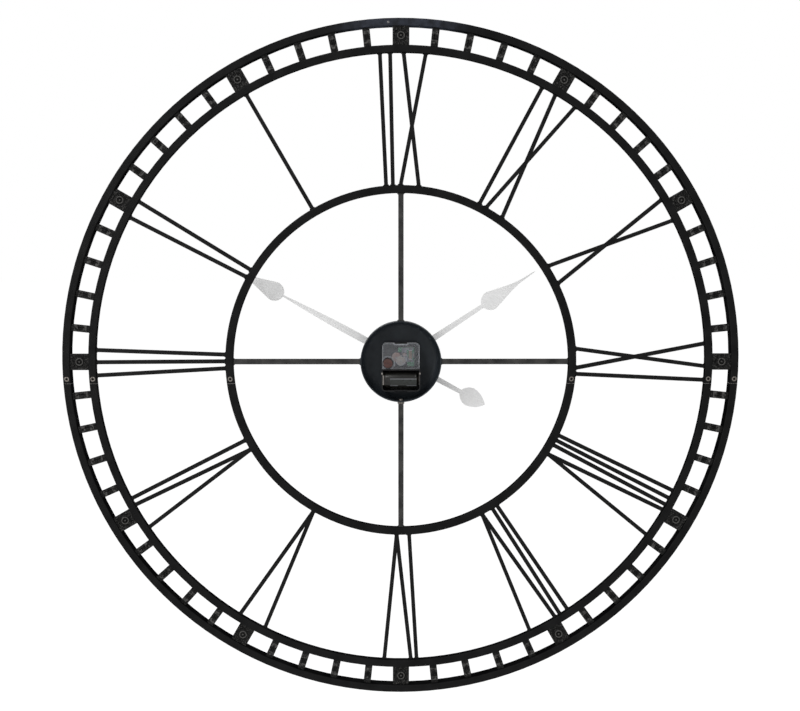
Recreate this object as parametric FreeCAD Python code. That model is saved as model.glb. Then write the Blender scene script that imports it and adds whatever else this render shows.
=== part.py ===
import FreeCAD, Part
import math
import os

V = FreeCAD.Vector

# ---------------------------------------------------------------------------
# Driving dimensions, in millimetres and degrees.
# The origin is the dial centre on the wall plane.  The wall is y = 0, the dial
# faces -Y, +Z is 12 o'clock.  Clock angles run clockwise as read from the front.
# ---------------------------------------------------------------------------

# Frame of three rings, bent from rectangular steel tube
OUTER_R = 500.0
OUTER_FACE = 11.0
OUTER_DEPTH = 20.0
CHAPTER_R = 461.8
CHAPTER_FACE = 11.0
INNER_R = 259.7
INNER_FACE = 11.6
SLIM_DEPTH = 11.0
SLIM_BACK = -1.0
TUBE_WALL = 1.2
TUBE_CORNER = 1.2

# The frame comes apart into an upper and a lower half
SEAM_Z = -32.0
SEAM_GAP = 0.4
TONGUE_REACH = 16.0
TONGUE_PLAY = 0.15
SPLICE_SCREW_Z = -25.5

# M4 countersunk splice screw, and the M4 pan head screw of the hub
SCREW_R = 2.0
SCREW_PLAY = 0.03
CSK_HEAD_R = 3.7
CSK_HEAD_H = 2.1
SPLICE_SCREW_LENGTH = 8.5
PAN_HEAD_R = 3.8
PAN_HEAD_H = 2.4
HUB_SCREW_LENGTH = 14.0
RECESS_WIDTH = 0.9
RECESS_DEPTH = 1.3

# Hour plates and minute bars, between the outer and the chapter ring
HOUR_PLATE_WIDTH = 24.5
HOUR_PLATE_BACK = -2.6
HOUR_PLATE_THICK = 3.4
DISH_R = 10.2
COLLAR_OUT_R = 5.6
COLLAR_IN_R = 4.1
PIP_R = 1.6
DISH_DEPTH = 1.4
BOSS_RIM_R = 11.2
BOSS_RIM_HEIGHT = 1.6
BOSS_DOME_R = 6.0
BOSS_DOME_HEIGHT = 3.0
MINUTE_BAR_WIDTH = 10.8
MINUTE_BAR_BACK = -2.6
MINUTE_BAR_THICK = 4.0
MINUTE_BAR_CROWN = 1.6
MINUTE_SLOT_WIDTH = 3.4
MINUTE_SLOT_LENGTH = 15.0
MINUTE_SLOT_DEPTH = 1.2

# Numerals of straight 5.8 mm square bars, between the chapter and the inner ring
BAR = 5.8
BAR_BACK = -4.0
# Each bar: its angle from the hour's own line at the chapter ring, then at the
# inner ring.  Bars of one V share their inner end, bars of one X cross.
NUMERALS = {
    1: [(0.0, 0.0)],
    2: [(-1.5, -1.5), (1.9, 1.2)],
    3: [(-2.2, -2.3), (0.1, -0.1), (2.6, 2.2)],
    4: [(-3.0, -3.1), (-1.6, 0.4), (3.4, 0.4)],
    5: [(-2.4, -0.2), (3.0, -0.2)],
    6: [(-3.2, -1.4), (1.9, -1.4), (3.0, 2.7)],
    7: [(-4.5, -2.1), (1.0, -2.1), (2.1, 1.8), (3.8, 3.6)],
    8: [(-5.3, -2.3), (0.4, -2.3), (1.5, 1.2), (2.9, 3.0), (4.5, 4.8)],
    9: [(-3.5, -4.1), (-0.9, 4.2), (3.4, -2.1)],
    10: [(1.9, -3.5), (-2.5, 3.0)],
    11: [(0.0, -5.0), (-4.3, 1.1), (2.8, 3.6)],
    12: [(-0.5, -5.8), (-4.6, 0.1), (2.0, 2.6), (3.9, 4.8)],
}

# Spokes and the hub cup, which is open to the back
SPOKE = 7.8
SPOKE_BACK = -3.5
CUP_R = 60.0
CUP_RIM_Y = -1.5
CUP_FLOOR_Y = -34.5
CUP_WALL = 1.5
CUP_CORNER = 10.0
JAM_NUT_AF = 10.0
JAM_NUT_H = 2.8

# Movement: a black case that also holds the battery, and a clear rear cover
CASE_FRONT = -32.0
CASE_WALL = 1.5
CASE_FLOOR = 1.8
PARTING_Y = -20.0
COVER_BACK = -12.0
COVER_WALL = 1.2
CASE_HALF_WIDTH = 27.75
CASE_TOP = 27.5
CASE_SHOULDER = 4.0
STEP_HALF_WIDTH = 9.3
STEP_DEPTH = 2.0
BAY_TOP = -11.5
BAY_BOTTOM = -44.5
BAY_HALF_WIDTH = 28.75
BAY_BACK = -4.0
BAY_CORNER = 6.0
FINGER_R = 10.0
FINGER_DEPTH = 9.0

# C cell
CELL_R = 12.9
CELL_LENGTH = 48.5
CELL_NUB_R = 3.3
CELL_NUB = 1.5
CELL_Y = -17.4
CELL_Z = -28.0
CELL_X0 = -23.55
CONTACT = 0.4

# Mounting of the movement through the cup's floor
BUSH_R = 4.0
BUSH_BORE_R = 2.56
BUSH_FRONT = -38.3
NUT_AF = 11.0
NUT_H = 2.5
BRASS_WASHER_R = 7.5
BRASS_WASHER_H = 0.5
RUBBER_WASHER_R = 9.0

# Gear train: running clearances and the pinions' and wheels' teeth
PLAY = 0.05
ARBOR_R = 0.4
PIVOT_R = 0.3
MOTION_DISTANCE = 9.0
KNOB_AT = (19.23, -3.05)
KNOB_R = 6.9
KNOB_RIBS = 18
KNOB_WELL_R = 9.2
CANNON_TEETH = 12
MOTION_TEETH = 36
MOTION_PINION_TEETH = 12
HOUR_TEETH = 48
KNOB_TEETH = 20
THIRD_DISTANCE = 8.4
THIRD_ANGLE = 36.9
THIRD_TEETH = 60
THIRD_PINION_TEETH = 8
SECOND_PINION_TEETH = 12
MINUTE_GEAR_TEETH = 96
SECOND_TEETH = 50
INTERMEDIATE_TEETH = 60
INTERMEDIATE_PINION_TEETH = 10
INTERMEDIATE_DISTANCE = 8.55
INTERMEDIATE_ANGLE = 152.6
ROTOR_TEETH = 10
ROTOR_DISTANCE = 6.3
ROTOR_ANGLE = 63.8
MINUTE_ARBOR_R = 1.7
HOUR_TUBE_R = 2.5

# Hands, of sheet aluminium on brass collets; both end in the same spade
HOUR_HAND_ANGLE = -56.6
MINUTE_HAND_ANGLE = 61.5
SPADE_LENGTH = 94.0
SPADE_HALF = 14.4
HOUR_SPADE_AT = 147.0
MINUTE_SPADE_AT = 201.0
TAIL_LEAF_AT = 103.0
TAIL_LEAF_LENGTH = 42.0
HAND_EYE_R = 8.0
HOUR_HAND_BACK = -39.6
HOUR_HAND_THICK = 1.0
MINUTE_HAND_BACK = -45.2
MINUTE_HAND_THICK = 0.8
CREASE_SLOPE = 0.2
HOUR_COLLET_R = 4.0
HOUR_COLLET_FLANGE_R = 5.6
HOUR_COLLET_FRONT = -41.0
HOUR_COLLET_BACK = -39.0
MINUTE_COLLET_R = 3.0
MINUTE_COLLET_FLANGE_R = 5.0
MINUTE_COLLET_FRONT = -46.3
MINUTE_FLANGE_FRONT = -43.9
HAND_NUT_R = 3.6
HAND_NUT_FRONT = -47.7
HAND_FIT = 0.01
HAND_PLAY = 0.02


# ---------------------------------------------------------------------------
# Plain shapes
# ---------------------------------------------------------------------------

def cyl(x, z, radius, front, back):
    """A round bar along Y, from depth front to depth back."""
    return Part.makeCylinder(radius, back - front, V(x, front, z), V(0, 1, 0))


def tube(x, z, outer, inner, front, back):
    return cyl(x, z, outer, front, back).cut(cyl(x, z, inner, front - 1, back + 1))


def box(x0, x1, front, back, z0, z1):
    return Part.makeBox(x1 - x0, back - front, z1 - z0, V(x0, front, z0))


def prism(points, front, back):
    """An (x, z) outline, drawn through depth."""
    corners = [V(x, front, z) for x, z in points]
    face = Part.Face(Part.makePolygon(corners + corners[:1]))
    return face.extrude(V(0, back - front, 0))


def turn(shape, angle):
    """A copy turned clockwise, as read from the front, about the dial centre."""
    copy = shape.copy()
    copy.rotate(V(0, 0, 0), V(0, 1, 0), angle)
    return copy


def clock_point(radius, angle, y=0.0):
    a = math.radians(angle)
    return V(radius * math.sin(a), y, radius * math.cos(a))


def polar(radius, angle, origin=(0.0, 0.0)):
    """A point (x, z) at an angle measured from +X towards +Z."""
    a = math.radians(angle)
    return origin[0] + radius * math.cos(a), origin[1] + radius * math.sin(a)


def hexagon(across_flats):
    return [polar(across_flats / math.sqrt(3), 30 + 60 * i) for i in range(6)]


def join(shapes):
    """One clean shape; pieces that don't touch stay separate solids."""
    fused = shapes[0].multiFuse(shapes[1:]) if len(shapes) > 1 else shapes[0]
    return fused.removeSplitter()


def group(shapes):
    return Part.makeCompound(shapes)


def between_rings(shape, inner, outer):
    """Trim to the gap between two rings, so that ends follow their curves."""
    return shape.common(tube(0, 0, outer, inner, -60, 10))


# ---------------------------------------------------------------------------
# Frame
# ---------------------------------------------------------------------------

def rounded_section(r0, r1, front, back, corner):
    """A ring's cross-section with rounded corners, in the plane of X and Y."""
    c = corner
    k = c * (1 - math.sqrt(0.5))
    sides = [
        (V(r0 + c, front, 0), V(r1 - c, front, 0), V(r1 - k, front + k, 0)),
        (V(r1, front + c, 0), V(r1, back - c, 0), V(r1 - k, back - k, 0)),
        (V(r1 - c, back, 0), V(r0 + c, back, 0), V(r0 + k, back - k, 0)),
        (V(r0, back - c, 0), V(r0, front + c, 0), V(r0 + k, front + k, 0)),
    ]
    edges = []
    for i, (start, end, bulge) in enumerate(sides):
        following = sides[(i + 1) % 4][0]
        edges.append(Part.LineSegment(start, end).toShape())
        edges.append(Part.Arc(end, bulge, following).toShape())
    return Part.Face(Part.Wire(edges))


def tube_ring(outer_r, face, front, back):
    """A full ring of rectangular tube."""
    inner_r = outer_r - face
    skin = rounded_section(inner_r, outer_r, front, back, TUBE_CORNER)
    ring = skin.revolve(V(0, 0, 0), V(0, 1, 0), 360)
    hollow = tube(0, 0, outer_r - TUBE_WALL, inner_r + TUBE_WALL,
                  front + TUBE_WALL, back - TUBE_WALL)
    return ring.cut(hollow)


RINGS = {
    "outer_ring": (OUTER_R, OUTER_FACE, -OUTER_DEPTH, 0.0),
    "chapter_ring": (CHAPTER_R, CHAPTER_FACE, SLIM_BACK - SLIM_DEPTH, SLIM_BACK),
    "inner_ring": (INNER_R, INNER_FACE, SLIM_BACK - SLIM_DEPTH, SLIM_BACK),
}


def splice_x(ring):
    """How far from the centre line the ring's middle is, at the splice screw."""
    outer_r, face = ring[:2]
    return math.sqrt((outer_r - face / 2) ** 2 - SPLICE_SCREW_Z ** 2)


def countersunk(x, z, back, play):
    """A flush screw driven in from the back, larger by play for its hole."""
    shank = cyl(x, z, SCREW_R + play, back - SPLICE_SCREW_LENGTH - play, back)
    head = Part.makeCone(SCREW_R + play, CSK_HEAD_R + play, CSK_HEAD_H,
                         V(x, back - CSK_HEAD_H, z), V(0, 1, 0))
    return shank.fuse(head)


def cross_recess(x, z, back):
    arm = CSK_HEAD_R * 0.62
    bars = [box(x - arm, x + arm, back - RECESS_DEPTH, back + 1,
                z - RECESS_WIDTH / 2, z + RECESS_WIDTH / 2),
            box(x - RECESS_WIDTH / 2, x + RECESS_WIDTH / 2, back - RECESS_DEPTH, back + 1,
                z - arm, z + arm)]
    return bars[0].fuse(bars[1])


def splice_holes(ring, play=SCREW_PLAY):
    x = splice_x(ring)
    return [countersunk(side * x, SPLICE_SCREW_Z, ring[3], play) for side in (-1, 1)]


def ring_halves(ring):
    whole = tube_ring(*ring)
    reach = OUTER_R + 10
    upper = whole.common(box(-reach, reach, -60, 10, SEAM_Z + SEAM_GAP / 2, reach))
    lower = whole.common(box(-reach, reach, -60, 10, -reach, SEAM_Z - SEAM_GAP / 2))
    for hole in splice_holes(ring):
        upper = upper.cut(hole)
    return upper, lower


def splice_tongues():
    """Steel tongues inside the tubes, which bridge each seam."""
    tongues = []
    for ring in RINGS.values():
        outer_r, face, front, back = ring
        inset = TUBE_WALL + TONGUE_PLAY
        core = tube(0, 0, outer_r - inset, outer_r - face + inset, front + inset, back - inset)
        for side in (-1, 1):
            x0, x1 = sorted((side * 100.0, side * (OUTER_R + 10)))
            piece = core.common(box(x0, x1, -60, 10, SEAM_Z - TONGUE_REACH, SEAM_Z + TONGUE_REACH))
            for hole in splice_holes(ring):
                piece = piece.cut(hole)
            tongues.append(piece)
    return group(tongues)


def splice_screws():
    screws = []
    for ring in RINGS.values():
        for side in (-1, 1):
            x = side * splice_x(ring)
            screw = countersunk(x, SPLICE_SCREW_Z, ring[3], 0.0)
            screws.append(screw.cut(cross_recess(x, SPLICE_SCREW_Z, ring[3])))
    return group(screws)


def hour_plate():
    """A square plate at 12 o'clock with a dished back and an embossed front."""
    centre_r = (OUTER_R - OUTER_FACE + CHAPTER_R) / 2
    back = HOUR_PLATE_BACK
    front = back - HOUR_PLATE_THICK
    half = HOUR_PLATE_WIDTH / 2
    plate = between_rings(box(-half, half, front, back, CHAPTER_R - 5, OUTER_R),
                          CHAPTER_R, OUTER_R - OUTER_FACE)
    dish = tube(0, centre_r, DISH_R, COLLAR_OUT_R, back - DISH_DEPTH, back + 1)
    well = tube(0, centre_r, COLLAR_IN_R, PIP_R, back - DISH_DEPTH, back + 1)
    plate = plate.cut(dish).cut(well)
    rim = Part.makeTorus(BOSS_RIM_R - BOSS_RIM_HEIGHT, BOSS_RIM_HEIGHT,
                         V(0, front, centre_r), V(0, 1, 0))
    dome_sphere_r = (BOSS_DOME_R ** 2 + BOSS_DOME_HEIGHT ** 2) / (2 * BOSS_DOME_HEIGHT)
    dome = Part.makeSphere(dome_sphere_r,
                           V(0, front - BOSS_DOME_HEIGHT + dome_sphere_r, centre_r))
    in_front = box(-half, half, front - 10, front + 0.5, CHAPTER_R - 5, OUTER_R)
    return join([plate, rim.common(in_front), dome.common(in_front)])


def minute_bar():
    """One minute's bar at 12 o'clock: a crowned front and a slotted back."""
    centre_r = (OUTER_R - OUTER_FACE + CHAPTER_R) / 2
    half = MINUTE_BAR_WIDTH / 2
    back = MINUTE_BAR_BACK
    front = back - MINUTE_BAR_THICK
    crown_r = (half ** 2 + MINUTE_BAR_CROWN ** 2) / (2 * MINUTE_BAR_CROWN)
    crown = Part.makeCylinder(crown_r, 60, V(0, front + crown_r, centre_r - 30), V(0, 0, 1))
    blank = box(-half, half, front - 1, back, CHAPTER_R - 5, OUTER_R)
    bar = between_rings(blank.common(crown), CHAPTER_R, OUTER_R - OUTER_FACE)
    slot_half = MINUTE_SLOT_LENGTH / 2 - MINUTE_SLOT_WIDTH / 2
    bottom = back - MINUTE_SLOT_DEPTH
    slot = box(-MINUTE_SLOT_WIDTH / 2, MINUTE_SLOT_WIDTH / 2, bottom, back + 1,
               centre_r - slot_half, centre_r + slot_half)
    ends = [cyl(0, centre_r + side * slot_half, MINUTE_SLOT_WIDTH / 2, bottom, back + 1)
            for side in (-1, 1)]
    return bar.cut(slot.multiFuse(ends))


def hour_plates(hours):
    plate = hour_plate()
    return group([turn(plate, 30 * hour) for hour in hours])


def minute_bars(first, last):
    bar = minute_bar()
    return group([turn(bar, 6 * minute) for minute in range(first, last) if minute % 5])


def numeral(hour):
    """The hour's bars, cut to the rings at both ends and welded where they meet."""
    outer = CHAPTER_R - CHAPTER_FACE
    bars = []
    for at_chapter, at_inner in NUMERALS[hour]:
        start = clock_point(INNER_R, 30 * hour + at_inner)
        end = clock_point(outer, 30 * hour + at_chapter)
        along = (end - start).normalize()
        across = V(along.z, 0, -along.x) * (BAR / 2)
        start = start - along * BAR
        end = end + along * BAR
        outline = [start + across, end + across, end - across, start - across]
        bar = prism([(p.x, p.z) for p in outline], BAR_BACK - BAR, BAR_BACK)
        bars.append(between_rings(bar, INNER_R, outer))
    return join(bars)


# ---------------------------------------------------------------------------
# Spokes and hub
# ---------------------------------------------------------------------------

def spoke(hour):
    inner = CUP_R
    if hour == 6:
        inner = CUP_R + JAM_NUT_H
    half = SPOKE / 2
    bar = box(-half, half, SPOKE_BACK - SPOKE, SPOKE_BACK, CUP_R - 10, INNER_R)
    bar = bar.common(cyl(0, 0, INNER_R - INNER_FACE, -60, 10))
    if hour == 6:
        bar = bar.common(box(-half, half, -60, 10, inner, INNER_R))
        bar = bar.cut(radial_round(SCREW_R + SCREW_PLAY, inner - 1, CUP_R + HUB_SCREW_LENGTH))
    else:
        bar = bar.cut(cyl(0, 0, inner, -60, 10))
    return turn(bar, 30 * hour)


def radial_round(radius, r0, r1):
    """A round bar along the 12 o'clock line, at the spokes' depth."""
    return Part.makeCylinder(radius, r1 - r0, V(0, SPOKE_BACK - SPOKE / 2, r0), V(0, 0, 1))


def hub_cup():
    """A drawn steel cup; its rounded corner runs into a flat floor."""
    section = []
    for radius, floor, corner in ((CUP_R, CUP_FLOOR_Y, CUP_CORNER + CUP_WALL),
                                  (CUP_R - CUP_WALL, CUP_FLOOR_Y + CUP_WALL, CUP_CORNER)):
        k = corner * (1 - math.sqrt(0.5))
        rim = V(radius, CUP_RIM_Y, 0)
        wall_end = V(radius, floor + corner, 0)
        bulge = V(radius - k, floor + k, 0)
        floor_start = V(radius - corner, floor, 0)
        middle = V(0, floor, 0)
        edges = [Part.LineSegment(rim, wall_end).toShape(),
                 Part.Arc(wall_end, bulge, floor_start).toShape(),
                 Part.LineSegment(floor_start, middle).toShape(),
                 Part.LineSegment(middle, V(0, CUP_RIM_Y, 0)).toShape(),
                 Part.LineSegment(V(0, CUP_RIM_Y, 0), rim).toShape()]
        section.append(Part.Face(Part.Wire(edges)).revolve(V(0, 0, 0), V(0, 1, 0), 360))
    cup = section[0].cut(section[1])
    cup = cup.cut(cyl(0, 0, BUSH_R + 0.2, CUP_FLOOR_Y - 1, CUP_FLOOR_Y + 5))
    hole = turn(radial_round(SCREW_R + 0.2, CUP_R - 6, CUP_R + 2), 180)
    return cup.cut(hole)


def hub_screw():
    """Pan head screw from inside the cup down into the lower spoke."""
    under_head = CUP_R - CUP_WALL - 0.15
    shank = radial_round(SCREW_R, under_head, under_head + HUB_SCREW_LENGTH)
    head = radial_round(PAN_HEAD_R, under_head - PAN_HEAD_H, under_head)
    y = SPOKE_BACK - SPOKE / 2
    arm = PAN_HEAD_R * 0.6
    top = under_head - PAN_HEAD_H
    recess = box(-arm, arm, y - RECESS_WIDTH / 2, y + RECESS_WIDTH / 2, top - 1, top + RECESS_DEPTH)
    across = box(-RECESS_WIDTH / 2, RECESS_WIDTH / 2, y - arm, y + arm, top - 1, top + RECESS_DEPTH)
    return turn(shank.fuse(head).cut(recess).cut(across), 180)


def hub_jam_nut():
    """The nut between the cup and the lower spoke, hollowed to the cup's curve."""
    y = SPOKE_BACK - SPOKE / 2
    corners = [V(x, y + depth, CUP_R - 2) for x, depth in hexagon(JAM_NUT_AF)]
    blank = Part.Face(Part.makePolygon(corners + corners[:1])).extrude(V(0, 0, JAM_NUT_H + 2))
    nut = blank.cut(cyl(0, 0, CUP_R, -60, 10))
    return turn(nut.cut(radial_round(SCREW_R + SCREW_PLAY, CUP_R - 5, CUP_R + 9)), 180)


# ---------------------------------------------------------------------------
# Movement: case, cover and battery
# ---------------------------------------------------------------------------

def case_outline(inset, step):
    """The movement's upper outline, with shoulders and a step in its top edge."""
    w = CASE_HALF_WIDTH - inset
    top = CASE_TOP - inset
    shoulder = CASE_SHOULDER
    s = STEP_HALF_WIDTH + inset
    low = top - step
    right = [(w, BAY_TOP + inset), (w, top - shoulder), (w - shoulder, top), (s, top), (s, low)]
    if step == 0:
        right = right[:3]
    return right + [(-x, z) for x, z in reversed(right)]


def rounded_bay(inset, front, back):
    """The battery bay's block, with its two lower corners rounded."""
    w = BAY_HALF_WIDTH - inset
    corner = BAY_CORNER - inset
    low = BAY_BOTTOM + inset
    block = box(-w, w, front, back, low, BAY_TOP - inset)
    for side in (-1, 1):
        x = side * (w - corner)
        x0, x1 = sorted((x, side * (w + 1)))
        waste = box(x0, x1, front - 1, back + 1, low - 1, low + corner)
        block = block.cut(waste.cut(cyl(x, low + corner, corner, front - 2, back + 2)))
    return block


TRAIN_PLATE_FRONT = -26.8
TRAIN_PLATE_BACK = -25.8
BOARD_FRONT = -19.6
BOARD_BACK = -18.6
STATOR_FRONT = -17.5
STATOR_BACK = -16.5
COVER_INNER = COVER_BACK - COVER_WALL
CASE_INNER = CASE_FRONT + CASE_FLOOR
PLATE_POSTS = [(-13.0, -6.5), (-13.0, 13.5), (22.5, 13.5), (3.4, -8.7)]
BOARD_POSTS = [(-18.6, -6.4), (2.4, 18.6)]
STATOR_POSTS = [(-17.3, 0.3), (-17.3, 18.3)]
STAKE_R = 0.6

MOTION_AT = polar(MOTION_DISTANCE, math.degrees(math.atan2(KNOB_AT[1], KNOB_AT[0])))
THIRD_AT = polar(THIRD_DISTANCE, THIRD_ANGLE)
INTERMEDIATE_AT = polar(INTERMEDIATE_DISTANCE, INTERMEDIATE_ANGLE)
ROTOR_AT = polar(ROTOR_DISTANCE, ROTOR_ANGLE, INTERMEDIATE_AT)


def movement_case():
    shell = prism(case_outline(0, 0), CASE_FRONT, PARTING_Y)
    shell = shell.cut(prism(case_outline(CASE_WALL, 0), CASE_INNER, PARTING_Y + 1))
    bay = rounded_bay(0, CASE_FRONT, BAY_BACK)
    bay = bay.cut(rounded_bay(CASE_WALL, CASE_FRONT + CASE_WALL, BAY_BACK + 1))
    bay = bay.cut(cyl(0, BAY_BOTTOM, FINGER_R, BAY_BACK - FINGER_DEPTH, BAY_BACK + 1))
    cell = Part.makeCylinder(CELL_R + 0.1, 80, V(-40, CELL_Y, CELL_Z), V(1, 0, 0))
    room = rounded_bay(CASE_WALL, CASE_FRONT + CASE_WALL, CELL_Y - 5)
    ribs = [room.common(box(x - 1, x + 1, -60, 10, -60, 10)).cut(cell) for x in (-14, 14)]
    posts = [cyl(x, z, 1.5, CASE_INNER, TRAIN_PLATE_FRONT) for x, z in PLATE_POSTS]
    posts += [cyl(x, z, STAKE_R, TRAIN_PLATE_FRONT, TRAIN_PLATE_BACK + 0.2) for x, z in PLATE_POSTS]
    posts += [cyl(x, z, 1.2, CASE_INNER, BOARD_FRONT) for x, z in BOARD_POSTS]
    posts += [cyl(x, z, 1.4, CASE_INNER, BOARD_FRONT) for x, z in STATOR_POSTS]
    posts += [cyl(x, z, 0.9, BOARD_FRONT, STATOR_FRONT) for x, z in STATOR_POSTS]
    stud = cyl(*MOTION_AT, STUD_R, CASE_INNER, TRAIN_PLATE_FRONT - 0.2)
    knob_seat = cyl(*KNOB_AT, 1.8, CASE_INNER, CASE_INNER + 1.2)
    case = join([shell, bay, stud, knob_seat] + ribs + posts)
    case = case.cut(cyl(*KNOB_AT, KNOB_PIVOT_R + PLAY, CASE_INNER - 0.6, CASE_INNER + 2))
    return case.cut(cyl(0, 0, BUSH_R + 0.02, CASE_FRONT - 1, CASE_INNER + 1))


def movement_cover():
    """Clear cover with a well for the setting knob and seats for the arbors."""
    block = prism(case_outline(0, STEP_DEPTH), PARTING_Y, COVER_BACK)
    shell = block.cut(prism(case_outline(COVER_WALL, STEP_DEPTH), PARTING_Y - 1, COVER_INNER))
    well_floor = COVER_BACK - 6.8
    well = cyl(*KNOB_AT, KNOB_WELL_R + COVER_WALL, well_floor, COVER_BACK).common(block)
    seats = [cyl(*at, 1.2, COVER_INNER - 1.4, COVER_INNER)
             for at in ((0, 0), THIRD_AT, INTERMEDIATE_AT, ROTOR_AT)]
    cover = join([shell, well] + seats)
    cover = cover.cut(cyl(*KNOB_AT, KNOB_WELL_R, well_floor + COVER_WALL, COVER_BACK + 1))
    cover = cover.cut(cyl(*KNOB_AT, 1.3, well_floor - 1, COVER_BACK))
    for at in ((0, 0), THIRD_AT, INTERMEDIATE_AT, ROTOR_AT):
        cover = cover.cut(cyl(*at, PIVOT_R + PLAY, COVER_INNER - 2, COVER_INNER - 0.2))
    return cover


def battery():
    can = Part.makeCylinder(CELL_R, CELL_LENGTH, V(CELL_X0, CELL_Y, CELL_Z), V(1, 0, 0))
    can = can.makeFillet(0.8, [e for e in can.Edges if e.Curve.TypeId == "Part::GeomCircle"])
    nub = Part.makeCylinder(CELL_NUB_R, CELL_NUB + 1,
                            V(CELL_X0 + CELL_LENGTH - 1, CELL_Y, CELL_Z), V(1, 0, 0))
    return can.fuse(nub).removeSplitter()


def contact_tab(side):
    """The soldering tab of a contact, folded over the bay's rim."""
    inner = BAY_HALF_WIDTH - CASE_WALL
    pieces = []
    for x0, x1, front in ((inner - CONTACT, inner, -10.0), (inner - CONTACT, inner + 1.9, BAY_BACK)):
        lo, hi = sorted((side * x0, side * x1))
        pieces.append(box(lo, hi, front, BAY_BACK + CONTACT, -19.0, -16.5))
    return pieces


def battery_plate():
    """Positive contact: a plate on the bay's wall with a folded edge and a dimple."""
    inner = BAY_HALF_WIDTH - CASE_WALL
    plate = box(inner - CONTACT, inner, -27.0, -8.0, -35.0, -16.5)
    edge = box(CELL_X0 + CELL_LENGTH + 0.15, inner, -8.0 - CONTACT, -8.0, -35.0, -21.0)
    nub_end = CELL_X0 + CELL_LENGTH + CELL_NUB
    dimple = Part.makeCylinder(2.8, inner - CONTACT - nub_end, V(nub_end, CELL_Y, CELL_Z), V(1, 0, 0))
    return join([plate, edge, dimple] + contact_tab(1))


def battery_spring():
    """Negative contact: a leaf that bows from the wall to the cell's flat end."""
    inner = -(BAY_HALF_WIDTH - CASE_WALL)
    plate = box(inner, inner + CONTACT, -27.0, -8.0, -35.0, -16.5)
    bow = [(inner + CONTACT, -25.5), (CELL_X0, -19.4), (CELL_X0, -15.4), (inner + CONTACT, -9.6),
           (inner + CONTACT, -10.4), (CELL_X0 - CONTACT, -15.8), (CELL_X0 - CONTACT, -19.0),
           (inner + CONTACT, -24.7)]
    corners = [V(x, y, -32.0) for x, y in bow]
    leaf = Part.Face(Part.makePolygon(corners + corners[:1])).extrude(V(0, 0, 8.0))
    return join([plate, leaf] + contact_tab(-1))


def mounting_bushing():
    return tube(0, 0, BUSH_R, BUSH_BORE_R, BUSH_FRONT, CASE_INNER - 0.2)


def mounting_nut():
    back = CUP_FLOOR_Y - BRASS_WASHER_H
    nut = prism(hexagon(NUT_AF), back - NUT_H, back)
    return nut.cut(cyl(0, 0, BUSH_R + 0.02, back - 9, back + 1))


def brass_washer():
    return tube(0, 0, BRASS_WASHER_R, BUSH_R + 0.1, CUP_FLOOR_Y - BRASS_WASHER_H, CUP_FLOOR_Y)


def rubber_washer():
    return tube(0, 0, RUBBER_WASHER_R, BUSH_R + 0.1, CUP_FLOOR_Y + CUP_WALL, CASE_FRONT)


# ---------------------------------------------------------------------------
# Movement: electric parts
# ---------------------------------------------------------------------------

CORE_X = -14.0
CORE_HALF = 1.2
CORE_BACK = -15.3
CORE_SCREWS = [(CORE_X, 0.3), (CORE_X, 18.3)]
WINDING_Z = (3.2, 15.6)
FLANGE = 0.6


def train_plate():
    """The plate between the hands' wheels and the running train."""
    plate = box(-15.0, 25.0, TRAIN_PLATE_FRONT, TRAIN_PLATE_BACK, -9.85, 15.5)
    holes = [(0, 0, MINUTE_ARBOR_R + 0.15), (*KNOB_AT, 1.3)]
    holes += [(*at, PIVOT_R + PLAY) for at in (THIRD_AT, INTERMEDIATE_AT, ROTOR_AT)]
    holes += [(x, z, STAKE_R + 0.03) for x, z in PLATE_POSTS]
    for x, z, radius in holes:
        plate = plate.cut(cyl(x, z, radius, TRAIN_PLATE_FRONT - 1, TRAIN_PLATE_BACK + 1))
    return plate


def circuit_board():
    """An L-shaped board with the driver chip under a round blob of resin."""
    outline = [(-20.0, -8.0), (-9.4, -8.0), (-9.4, 13.2), (4.0, 13.2), (4.0, 20.2), (-20.0, 20.2)]
    board = prism(outline, BOARD_FRONT, BOARD_BACK)
    blob_r = 2.6
    blob_height = 1.0
    ball_r = (blob_r ** 2 + blob_height ** 2) / (2 * blob_height)
    ball = Part.makeSphere(ball_r, V(-13.0, BOARD_BACK + blob_height - ball_r, -4.6))
    blob = ball.common(box(-17, -9, BOARD_BACK - 0.3, BOARD_BACK + 2, -8, 0))
    board = join([board, blob])
    for x, z in STATOR_POSTS:
        board = board.cut(cyl(x, z, 0.95, BOARD_FRONT - 1, BOARD_BACK + 1))
    return board


def quartz_crystal():
    """A round metal can that lies on the board."""
    return Part.makeCylinder(1.0, 6.2, V(-18.6, BOARD_BACK + 1.0, 5.0), V(0, 0, 1))


def stator_plate():
    """A soft-iron C around the rotor, bridged by the coil's core."""
    outline = [(-18.5, 19.8), (-1.2, 19.8), (-1.2, 6.4), (-6.6, 5.9), (-8.7, 4.4), (-9.2, -1.2),
               (-18.5, -1.2), (-18.5, 1.8), (-11.2, 1.8), (-11.2, 5.6), (-8.6, 8.4), (-8.4, 16.8),
               (-18.5, 16.8)]
    stator = prism(outline, STATOR_FRONT, STATOR_BACK)
    stator = stator.cut(cyl(*ROTOR_AT, 2.9, STATOR_FRONT - 1, STATOR_BACK + 1))
    for x, z in CORE_SCREWS:
        stator = stator.cut(cyl(x, z, 0.82, STATOR_FRONT - 1, STATOR_BACK + 1))
    return stator


def coil_core():
    core = box(CORE_X - CORE_HALF, CORE_X + CORE_HALF, STATOR_BACK, CORE_BACK, -1.2, 19.8)
    for x, z in CORE_SCREWS:
        core = core.cut(cyl(x, z, 0.82, STATOR_BACK - 1, CORE_BACK + 1))
    return core


def coil_section(grow, z0, z1):
    """A block around the coil's core, larger than it by grow on every side."""
    half = CORE_HALF + grow
    return box(CORE_X - half, CORE_X + half, STATOR_BACK - grow, CORE_BACK + grow, z0, z1)


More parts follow.
